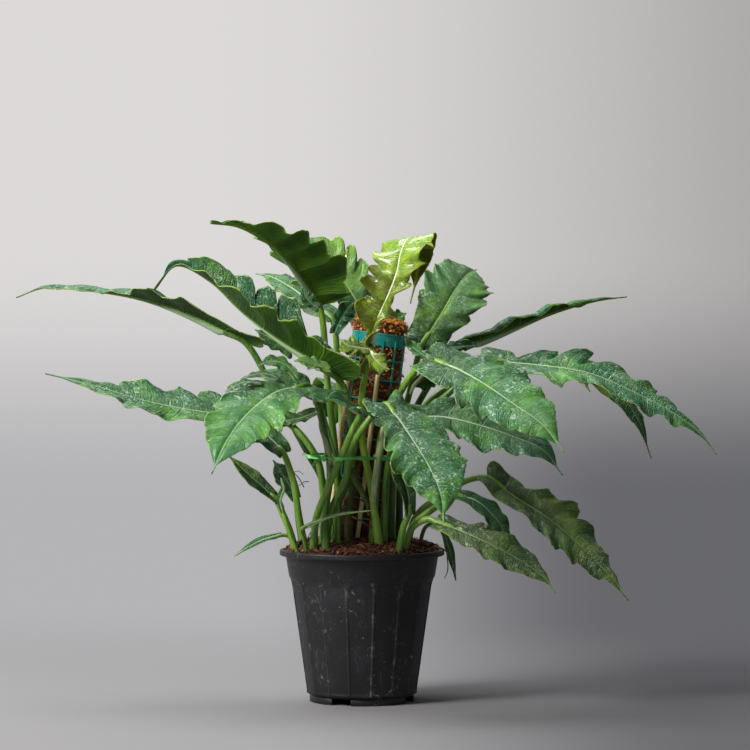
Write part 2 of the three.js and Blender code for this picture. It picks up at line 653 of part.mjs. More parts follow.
place('pot', pot(), finish(colours.plastic, 0.55));
place('soil', soil(soilHoles), finish(colours.soil, 0.95));
place('pole_core', poleCore(), finish(colours.coir, 0.95));
place('pole_cage', poleCage(), finish(colours.mesh, 0.4));
for (const rod of stakes) place(rod.name, stake(rod), finish(colours.bamboo, 0.6));
place('stem', stem(), finish(colours.stem, 0.6));
place('tie', tie(), finish(colours.ribbon, 0.45));
for (const [name, leaf] of plantLeaves) {
  const colour = name === 'young' ? colours.youngLeaf : colours.leaf;
  place(`leaf_${name}`, petiole(leaf).add(blade(leaf)), finish(colour, 0.5));
}

export default plant;
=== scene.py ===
import math
import random

import bmesh
import bpy
import numpy as np
from mathutils import Matrix, Vector, noise


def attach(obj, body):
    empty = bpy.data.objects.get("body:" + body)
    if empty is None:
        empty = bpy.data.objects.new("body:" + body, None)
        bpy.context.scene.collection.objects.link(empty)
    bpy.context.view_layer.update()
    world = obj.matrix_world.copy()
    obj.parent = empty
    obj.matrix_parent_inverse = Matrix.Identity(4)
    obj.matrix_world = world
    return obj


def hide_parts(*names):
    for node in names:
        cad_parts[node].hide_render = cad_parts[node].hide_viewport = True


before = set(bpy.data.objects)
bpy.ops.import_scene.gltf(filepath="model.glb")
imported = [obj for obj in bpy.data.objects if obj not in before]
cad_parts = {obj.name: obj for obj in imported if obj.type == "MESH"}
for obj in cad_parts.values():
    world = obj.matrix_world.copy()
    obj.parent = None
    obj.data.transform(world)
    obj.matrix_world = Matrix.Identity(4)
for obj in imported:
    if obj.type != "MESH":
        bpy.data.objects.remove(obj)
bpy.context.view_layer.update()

scene = bpy.context.scene
scene.view_settings.view_transform = "Standard"
random.seed(4)
noise.seed_set(4)
mm = 0.001

# Camera, floor, backdrop and lights. floor, low and high each hold a lit and a shaded tone, and their Shade
# says where the one turns into the other.

view = {"place": (0.0157, -4.1, 0.486), "pitch": -1.27, "lens": 162.46, "film": 36, "farthest": 50}
stage = {"front": -7.0, "back": 6.8, "side": 9.0, "height": 8.0, "curve": 2.3, "curveSteps": 24, "rough": 0.9,
         "middle": 0.016, "glow": (0.1, 1.2), "horizon": (-0.059, 0.015), "nearest": -1.0,
         "floor": ((0.262, 0.257, 0.262), (0.112, 0.111, 0.118)), "floorShade": (-0.03, 0.10),
         "low": ((0.457, 0.452, 0.466), (0.136, 0.137, 0.150)), "lowShade": (-0.043, 0.072),
         "high": ((0.716, 0.695, 0.690), (0.360, 0.345, 0.345)), "highShade": (-0.052, 0.170)}
lights = {
    "key": {"place": (-2.4, -1.7, 2.3), "size": 1.3, "power": 165, "colour": (1.0, 0.98, 0.95)},
    "fill": {"place": (2.6, -2.8, 1.6), "size": 2.6, "power": 5, "colour": (0.94, 0.97, 1.0)},
    "top": {"place": (-0.6, 0.5, 2.7), "size": 1.4, "power": 60, "colour": (0.97, 0.99, 1.0)},
}
worldLight = {"colour": (0.80, 0.84, 0.90), "strength": 0.15}
lightAim = (0, 0, 0.35)


# Shader sums: a Wire is a socket, sums on it add Math nodes, and node() adds any other kind

class Wire:
    def __init__(self, tree, socket=None):
        self.tree = tree
        self.socket = socket

    def node(self, kind, settings=None, values=None, out=0):
        made = self.tree.nodes.new("ShaderNode" + kind)
        for name, value in (settings or {}).items():
            if name == "stops":
                ramp = made.color_ramp
                while len(ramp.elements) < len(value):
                    ramp.elements.new(0.5)
                for spot, (at, colour) in zip(ramp.elements, value):
                    spot.position = at
                    spot.color = (*colour, 1)
            else:
                setattr(made, name, value)
        for name, value in (values or {}).items():
            if isinstance(value, Wire):
                self.tree.links.new(value.socket, made.inputs[name])
            else:
                made.inputs[name].default_value = value
        return Wire(self.tree, made.outputs[out] if made.outputs else None)

    def maths(self, operation, first, second=0.0):
        return self.node("Math", {"operation": operation}, {0: first, 1: second})

    def __add__(self, other):
        return self.maths("ADD", self, other)

    def __radd__(self, other):
        return self.maths("ADD", other, self)

    def __sub__(self, other):
        return self.maths("SUBTRACT", self, other)

    def __rsub__(self, other):
        return self.maths("SUBTRACT", other, self)

    def __mul__(self, other):
        return self.maths("MULTIPLY", self, other)

    def __abs__(self):
        return self.maths("ABSOLUTE", self)

    def fraction(self):
        return self.maths("FRACT", self)

    def larger(self, other):
        return self.maths("MAXIMUM", self, other)

    def rise(self, low, high):
        # 0 up to low and 1 from high on
        return self.node("MapRange", {"interpolation_type": "SMOOTHSTEP"}, {0: self, 1: low, 2: high})

    def blend(self, first, second):
        # from one colour to another as this goes from 0 to 1
        first, second = [c if isinstance(c, Wire) else (*c, 1) for c in (first, second)]
        return self.node("Mix", {"data_type": "RGBA"}, {0: self, 6: first, 7: second}, out=2)

    def mark(self, name):
        return self.node("Attribute", {"attribute_name": name}, out=2)

    def spots(self):
        return self.node("TexCoord", out=3)

    def moved(self, spots, scale, turn=(0, 0, 0)):
        return self.node("Mapping", {}, {0: spots, 2: turn, 3: scale})

    def vector(self, x, y, z=0.0):
        return self.node("CombineXYZ", {}, {0: x, 1: y, 2: z})

    def grain(self, spots, scale, detail=3.0, rough=0.55):
        values = {"Vector": spots, "Scale": scale, "Detail": detail, "Roughness": rough}
        return self.node("TexNoise", {}, values)

    def cells(self, spots, scale, feature="F1", out=0):
        return self.node("TexVoronoi", {"feature": feature}, {"Vector": spots, "Scale": scale}, out)


def newMaterial(name):
    material = bpy.data.materials.new(name)
    material.use_nodes = True
    material.node_tree.nodes.clear()
    return material, Wire(material.node_tree)


def finishMaterial(wire, colour, roughness, height=None, bump=0.3, depth=0.001, **rest):
    values = {"Base Color": colour if isinstance(colour, Wire) else (*colour, 1), "Roughness": roughness}
    if height is not None:
        values["Normal"] = wire.node("Bump", {}, {"Strength": bump, "Distance": depth, "Height": height})
    values.update(rest)
    shader = wire.node("BsdfPrincipled", {}, values)
    wire.node("OutputMaterial", {}, {0: shader})


# Leaf finishes: along runs 0 to 1 from ears to tip, reach is the distance from the midrib in millimetres,
# edge is 0 at the midrib and 1 at the margin, phase counts the lobes, tone and bloom are the leaf's own;
# bloom is a dust haze that also paints a sheen of light

leafLooks = {
    "green": {
        "deep": (0.0065, 0.062, 0.0065), "fresh": (0.078, 0.275, 0.018), "cool": (0.018, 0.135, 0.050),
        "bloom": (0.20, 0.38, 0.20), "film": (0.145, 0.210, 0.120), "vein": (0.37, 0.52, 0.28),
        "margin": (0.40, 0.54, 0.13), "spot": (0.52, 0.68, 0.56), "low": (0.012, 0.070, 0.012), "lowEnd": 0.0,
        "under": (0.014, 0.056, 0.003), "underLight": (0.085, 0.205, 0.010), "underVein": (0.24, 0.42, 0.05),
        "stalkDark": (0.026, 0.105, 0.006), "stalkLight": (0.225, 0.430, 0.040),
        "stalkFleck": (0.42, 0.58, 0.16), "stalkFootShade": (0.038, 0.095, 0.012),
        "rough": 0.36, "glow": 0.0, "coat": 0.14,
    },
    "young": {
        "deep": (0.110, 0.235, 0.006), "fresh": (0.350, 0.560, 0.022), "cool": (0.230, 0.420, 0.030),
        "bloom": (0.48, 0.66, 0.09), "film": (0.34, 0.46, 0.05), "vein": (0.76, 0.86, 0.56),
        "margin": (0.42, 0.36, 0.02), "spot": (0.52, 0.64, 0.14), "low": (0.105, 0.12, 0.004), "lowEnd": 0.26,
        "under": (0.120, 0.135, 0.004), "underLight": (0.250, 0.300, 0.010), "underVein": (0.42, 0.50, 0.08),
        "stalkDark": (0.130, 0.300, 0.012), "stalkLight": (0.330, 0.540, 0.040),
        "stalkFleck": (0.56, 0.68, 0.20), "stalkFootShade": (0.035, 0.130, 0.012),
        "rough": 0.15, "glow": 0.12, "coat": 0.70,
    },
    "olive": {
        "deep": (0.009, 0.056, 0.010), "fresh": (0.150, 0.260, 0.020), "cool": (0.014, 0.080, 0.034),
        "bloom": (0.22, 0.34, 0.15), "film": (0.150, 0.180, 0.080), "vein": (0.27, 0.40, 0.16),
        "margin": (0.42, 0.46, 0.12), "spot": (0.50, 0.56, 0.38), "low": (0.006, 0.036, 0.010), "lowEnd": 0.0,
        "under": (0.026, 0.066, 0.008), "underLight": (0.080, 0.140, 0.020), "underVein": (0.22, 0.34, 0.08),
        "stalkDark": (0.048, 0.150, 0.012), "stalkLight": (0.220, 0.400, 0.040),
        "stalkFleck": (0.42, 0.52, 0.16), "stalkFootShade": (0.060, 0.140, 0.016),
        "rough": 0.33, "glow": 0.0, "coat": 0.14,
    },
}
leafLooks["lit"] = {**leafLooks["green"], "deep": (0.030, 0.115, 0.012), "fresh": (0.200, 0.400, 0.040),
                    "cool": (0.060, 0.190, 0.055), "vein": (0.30, 0.50, 0.11)}
leafGlow = {"Subsurface Radius": (0.7, 1.0, 0.25), "Subsurface Scale": 0.0016}
splashColour = (0.74, 0.82, 0.80)
smoothTip = {"from": 0.74, "full": 0.92, "left": 0.15}  # where veins and bumps fade out towards the tip


def leafMarks(wire):
    return [wire.mark(name) for name in ("along", "reach", "edge", "phase", "tone", "bloom")]


def sideVeins(wire, along, phase, edge, spots):
    # the veins that run out to the lobes and the two finer kinds between them, then what a bump keeps
    plain = 1 - along.rise(smoothTip["from"], smoothTip["full"])
    wobble = wire.grain(spots, 30.0, 2.0) - 0.5
    strong = abs((phase + wobble * 0.12 + 0.76).fraction() - 0.5)
    thin = abs((phase * 3.0 + wobble * 0.40 + 0.28).fraction() - 0.5)
    fine = abs((phase * 9.0 + wobble * 1.20 + edge * 0.5).fraction() - 0.5)
    veins = [1 - strong.rise(0.004, 0.020), 1 - thin.rise(0.010, 0.060), 1 - fine.rise(0.04, 0.20)]
    return *[vein * plain for vein in veins], plain * (1 - smoothTip["left"]) + smoothTip["left"]


def leafUpper(name, look):
    material, wire = newMaterial(name)
    along, reach, edge, phase, tone, bloom = leafMarks(wire)
    spots = wire.spots()
    strong, thin, fine, kept = sideVeins(wire, along, phase, edge, spots)
    midrib = 1 - abs(reach).rise(0.4, 1.2)
    patch = wire.grain(spots, 22.0, 4.0, 0.6)
    mottle = wire.grain(spots, 110.0, 5.0, 0.70)
    broad = wire.grain(wire.vector(phase * 6.0, reach * 0.07, along * 6.0), 2.0, 6.0, 0.70)
    strokes = wire.grain(wire.vector(phase * 17.0, reach * 0.085, along * 9.0), 2.0, 4.0, 0.62)
    # the green itself: fresh and deep, cool patches, darker below, lighter near the margin
    shade = (patch * 1.5 + mottle * 1.5 + broad * 0.9 + strokes * 0.7 + tone * 0.8 - 2.35).rise(0.0, 0.85)
    colour = shade.blend(look["deep"], look["fresh"])
    colour = ((broad * 0.9 - patch + 0.55).rise(0.38, 0.56) * 0.62).blend(colour, look["cool"])
    # low on the blade the green turns darker: partly the leaf's own darker colour, partly a painted shade in
    # its folds
    dim = (1 - mottle.rise(0.40, 0.75)).blend(colour, look["low"])
    colour = (1 - (along + patch * 0.5 - look["lowEnd"]).rise(0.30, 0.72)).blend(colour, dim)
    lit = edge.rise(0.45, 0.95) * (patch * 0.7 + mottle * 0.5).rise(0.60, 0.72)
    colour = (lit * 0.60).blend(colour, look["fresh"])
    # a dusty film along the midrib, then the bloom: a dust haze that is also a painted sheen of sky light
    cloud = wire.grain(spots, 36.0, 6.0, 0.72)
    film = (1 - abs(reach).rise(2.0, 24.0)) * (cloud + strokes * 0.6).rise(0.72, 0.95)
    colour = (film * bloom * 0.50).blend(colour, look["film"])
    # dusty here is the bloom haze: real dust and a painted sheen of sky light in one
    dusty = (cloud * 0.7 + strokes * 0.6).rise(0.60, 0.86)
    colour = (dusty * bloom * 0.50).blend(colour, look["bloom"])
    # pale flecks in clumps, dashes along the veins, small dots, and a few splashes
    clumps = wire.grain(spots, 27.0, 3.0).rise(0.40, 0.60)
    flecks = wire.grain(spots, 165.0, 3.0, 0.62).rise(0.575, 0.640) * (clumps * 0.7 + 0.3)
    dashes = wire.grain(wire.vector(phase * 30.0, reach * 0.135, along * 12.0), 2.0, 2.0).rise(0.600, 0.665)
    dots = (1 - wire.cells(spots, 330.0).rise(0.10, 0.34)) * clumps
    marks = flecks.larger(dashes * (0.30 + clumps * 0.5)).larger(dots * 0.9)
    colour = (marks * kept * (bloom * 0.62 + bloom * bloom * 0.10)).blend(colour, look["spot"])
    splash = wire.grain(spots, 62.0, 5.0, 0.75).rise(0.60, 0.66)
    splash = splash * wire.grain(spots, 20.0, 1.0).rise(0.60, 0.66)
    colour = (splash * (bloom - 0.55) * 1.6).blend(colour, splashColour)
    # veins and margin
    colour = (thin * 0.07).blend(colour, look["bloom"])
    colour = (strong * (1 - edge * 0.70) * mottle.rise(0.30, 0.55) * 0.74).blend(colour, look["vein"])
    colour = (edge.rise(0.965, 0.995) * mottle.rise(0.30, 0.60) * 0.72).blend(colour, look["margin"])
    colour = (midrib * 0.82 * (1 - along * 0.45)).blend(colour, look["vein"])
    height = strong * -1.2 + thin * -0.40 + fine * -0.14 + patch * 0.8 + mottle * 0.9 + strokes * 0.9
    height = height + wire.grain(spots, 430.0, 2.0) * 0.34
    rough = look["rough"] + wire.grain(spots, 60.0, 4.0, 0.6) * 0.22 + dusty * bloom * 0.14
    finishMaterial(wire, colour, rough, height * kept, 0.80, 0.0018, **{
        **leafGlow, "Subsurface Weight": look["glow"], "Coat Weight": look["coat"], "Coat Roughness": 0.14,
        "Specular IOR Level": 0.32,
    })
    return material


def leafUnder(name, look):
    material, wire = newMaterial(name)
    along, reach, edge, phase, tone, bloom = leafMarks(wire)
    spots = wire.spots()
    strong, thin, fine, kept = sideVeins(wire, along, phase, edge, spots)
    midrib = 1 - abs(reach).rise(1.0, 3.6)
    patch = wire.grain(spots, 24.0, 5.0, 0.66)
    # pleat paints the underside lighter along the raised veins and darker between them: a painted shade in
    # the pleats
    pleat = abs((phase + 0.26).fraction() - 0.5) * 2.0
    shade = (patch * 1.5 + tone * 0.5 + pleat * 0.35 - 0.85).rise(0.0, 0.9)
    colour = shade.blend(look["under"], look["underLight"])
    colour = (edge.rise(0.5, 1.0) * 0.30).blend(colour, look["underLight"])
    colour = (fine * 0.06 + thin * 0.10).blend(colour, look["underVein"])
    colour = (strong * (1 - edge * 0.6) * 0.58).blend(colour, look["underVein"])
    colour = (edge.rise(0.955, 1.0) * 0.62).blend(colour, look["margin"])
    colour = (midrib * 0.70).blend(colour, look["underVein"])
    height = strong * 1.0 + thin * 0.36 + fine * 0.14 + patch * 0.5 + wire.grain(spots, 430.0, 2.0) * 0.16
    finishMaterial(wire, colour, look["rough"] + 0.08 + patch * 0.14, height * kept, 0.80, 0.0020, **{
        **leafGlow, "Subsurface Weight": look["glow"], "Specular IOR Level": 0.26,
    })
    return material


def stalkSkin(name, look):
    # pale lengthwise streaks; along is below 0 on the stalk, and above it the midrib's colour takes over
    material, wire = newMaterial(name)
    along = wire.mark("along")
    spots = wire.spots()
    streak = wire.grain(wire.moved(spots, (1, 1, 0.07)), 300.0, 3.0)
    patch = wire.grain(wire.moved(spots, (1, 1, 0.4)), 34.0, 3.0)
    shade = (streak * 0.9 + patch * 0.8 + wire.mark("tone") * 0.5 - 0.70).rise(0.0, 0.85)
    colour = shade.blend(look["stalkDark"], look["stalkLight"])
    flecks = wire.cells(wire.moved(spots, (1, 1, 0.35)), 520.0).rise(0.10, 0.26)
    colour = (flecks * -0.30 + 0.30).blend(colour, look["stalkFleck"])
    # towards its foot the stalk is painted darker: a painted shade low in the clump
    colour = ((along * -1.0).rise(0.30, 0.85) * 0.45).blend(colour, look["stalkFootShade"])
    colour = along.rise(-0.03, 0.05).blend(colour, look["vein"])
    finishMaterial(wire, colour, 0.34 + streak * 0.16, streak, 0.25, 0.0006, **{
        "Coat Weight": 0.20, "Coat Roughness": 0.25, "Specular IOR Level": 0.45,
    })
    return material


leafSkins = {}
for kind, look in leafLooks.items():
    leafSkins[kind] = [leafUpper(kind + "Upper", look), leafUnder(kind + "Under", look),
                       stalkSkin(kind + "Stalk", look)]
print("leaf finishes made")


# Curves and sheets

def smooth(x):
    t = np.clip(x, 0, 1)
    return t * t * (3 - 2 * t)


def unit(rows):
    return rows / np.maximum(1e-9, np.linalg.norm(rows, axis=-1, keepdims=True))


def evenSteps(path, count):
    # count places at even distances along a path, and its length
    walked = np.concatenate([[0], np.cumsum(np.linalg.norm(np.diff(path, axis=0), axis=1))])
    stations = np.linspace(0, walked[-1], count)
    return np.column_stack([np.interp(stations, walked, path[:, k]) for k in range(3)]), walked[-1]


def curveThrough(points, count):
    # a centripetal curve through the points
    knots = [np.array(p, float) for p in points]
    knots = [2 * knots[0] - knots[1]] + knots + [2 * knots[-1] - knots[-2]]
    path = []
    t = np.linspace(0, 1, 40, endpoint=False)[:, None]
    for a, b, c, d in zip(knots, knots[1:], knots[2:], knots[3:]):
        one, two, three = [max(1e-4, np.linalg.norm(q - p)) ** 0.5 for p, q in ((a, b), (b, c), (c, d))]
        start = ((b - a) / one - (c - a) / (one + two) + (c - b) / two) * two
        end = ((c - b) / two - (d - b) / (two + three) + (d - c) / three) * two
        square = 3 * (c - b) - 2 * start - end
        cube = 2 * (b - c) + start + end
        path.append(b + start * t + square * t ** 2 + cube * t ** 3)
    return evenSteps(np.vstack(path + [knots[-2][None]]), count)


def carriedFrames(path, facing, start):
    # directions along a path, and a facing square to them, carried both ways from start without a twist
    tangents = unit(np.gradient(path, axis=0))
    ups = np.zeros_like(path)

    def square(up, tangent):
        return unit(up - tangent * up.dot(tangent))

    ups[start] = square(np.array(facing, float), tangents[start])
    for i in range(start + 1, len(path)):
        ups[i] = square(ups[i - 1], tangents[i])
    for i in range(start - 1, -1, -1):
        ups[i] = square(ups[i + 1], tangents[i])
    return tangents, ups


def toMesh(name, shape, smoothed=False):
    if smoothed:
        for face in shape.faces:
            face.smooth = True
    mesh = bpy.data.meshes.new(name)
    shape.to_mesh(mesh)
    shape.free()
    return mesh


def sheetMesh(name, columns, rows, place):
    # a grid of -1 to 1 both ways whose vertices place() moves; its second answer becomes attributes
    grid = bmesh.new()
    bmesh.ops.create_grid(grid, x_segments=columns, y_segments=rows, size=1)
    mesh = toMesh(name, grid)
    spots = np.empty(len(mesh.vertices) * 3)
    mesh.vertices.foreach_get("co", spots)
    spots = spots.reshape(-1, 3)
    moved, marks = place(spots[:, 0], spots[:, 1])
    mesh.vertices.foreach_set("co", (moved * mm).ravel())
    for markName, values in marks.items():
        mesh.attributes.new(markName, "FLOAT", "POINT").data.foreach_set("value", values)
    return mesh


def tubeMesh(name, path, radii, around, facing=(0, -1, 0.3), marks=None, flat=1.0, twist=0.0):
    # a round or flattened bar along a path, closed along its seam and at both ends
    path = np.array(path, float)
    steps = len(path) - 1
    tangents, ups = carriedFrames(path, facing, 0)
    sides = np.cross(tangents, ups)
    radii = np.array(radii, float) * np.ones(len(path))

    def place(x, y):
        row = np.rint((y + 1) / 2 * steps).astype(int)
        ahead = np.cos(math.pi * x) * radii[row]
        upward = np.sin(math.pi * x) * radii[row] * flat
        turn = twist * row / steps
        cos, sin = np.cos(turn), np.sin(turn)
        spots = path[row] + sides[row] * (ahead * cos - upward * sin)[:, None]
        spots = spots + ups[row] * (ahead * sin + upward * cos)[:, None]
        return spots, {key: values[row] for key, values in (marks or {}).items()}

    sheet = sheetMesh(name, around, steps, place)
    tube = bmesh.new()
    tube.from_mesh(sheet)
    bpy.data.meshes.remove(sheet)
    bmesh.ops.remove_doubles(tube, verts=tube.verts, dist=1e-6)
    bmesh.ops.holes_fill(tube, edges=tube.edges, sides=0)
    bmesh.ops.recalc_face_normals(tube, faces=tube.faces)
    return toMesh(name, tube, smoothed=True)


def spinLine(target, line, steps, closed=False):
    # a line of radii and heights in millimetres, spun all the way round the upright axis
    verts = [target.verts.new((radius * mm, 0, z * mm)) for radius, z in line]
    following = verts[1:] + verts[:1] if closed else verts[1:]
    edges = [target.edges.new(pair) for pair in zip(verts, following)]
    bmesh.ops.spin(target, geom=verts + edges, axis=(0, 0, 1), cent=(0, 0, 0), angle=2 * math.pi, steps=steps,
                   use_merge=True)


def toObject(name, mesh, materials):
    mesh.materials.clear()
    for material in materials:
        mesh.materials.append(material)
    thing = bpy.data.objects.new(name, mesh)
    scene.collection.objects.link(thing)
    return thing


def applyModifiers(thing):
    bpy.context.view_layer.update()
    finished = bpy.data.meshes.new_from_object(thing.evaluated_get(bpy.context.evaluated_depsgraph_get()))
    thing.modifiers.clear()
    thing.data = finished
    finished.name = thing.name
    return thing


def joinObjects(name, things):
    bpy.ops.object.select_all(action="DESELECT")
    for thing in things:
        thing.select_set(True)
    bpy.context.view_layer.objects.active = things[0]
    bpy.ops.object.join()
    whole = things[0]
    whole.name = name
    whole.data.name = name
    return whole


def shown(thing, slot, *nodes):
    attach(thing, "root")
    if nodes:
        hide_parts(*nodes)
    return thing
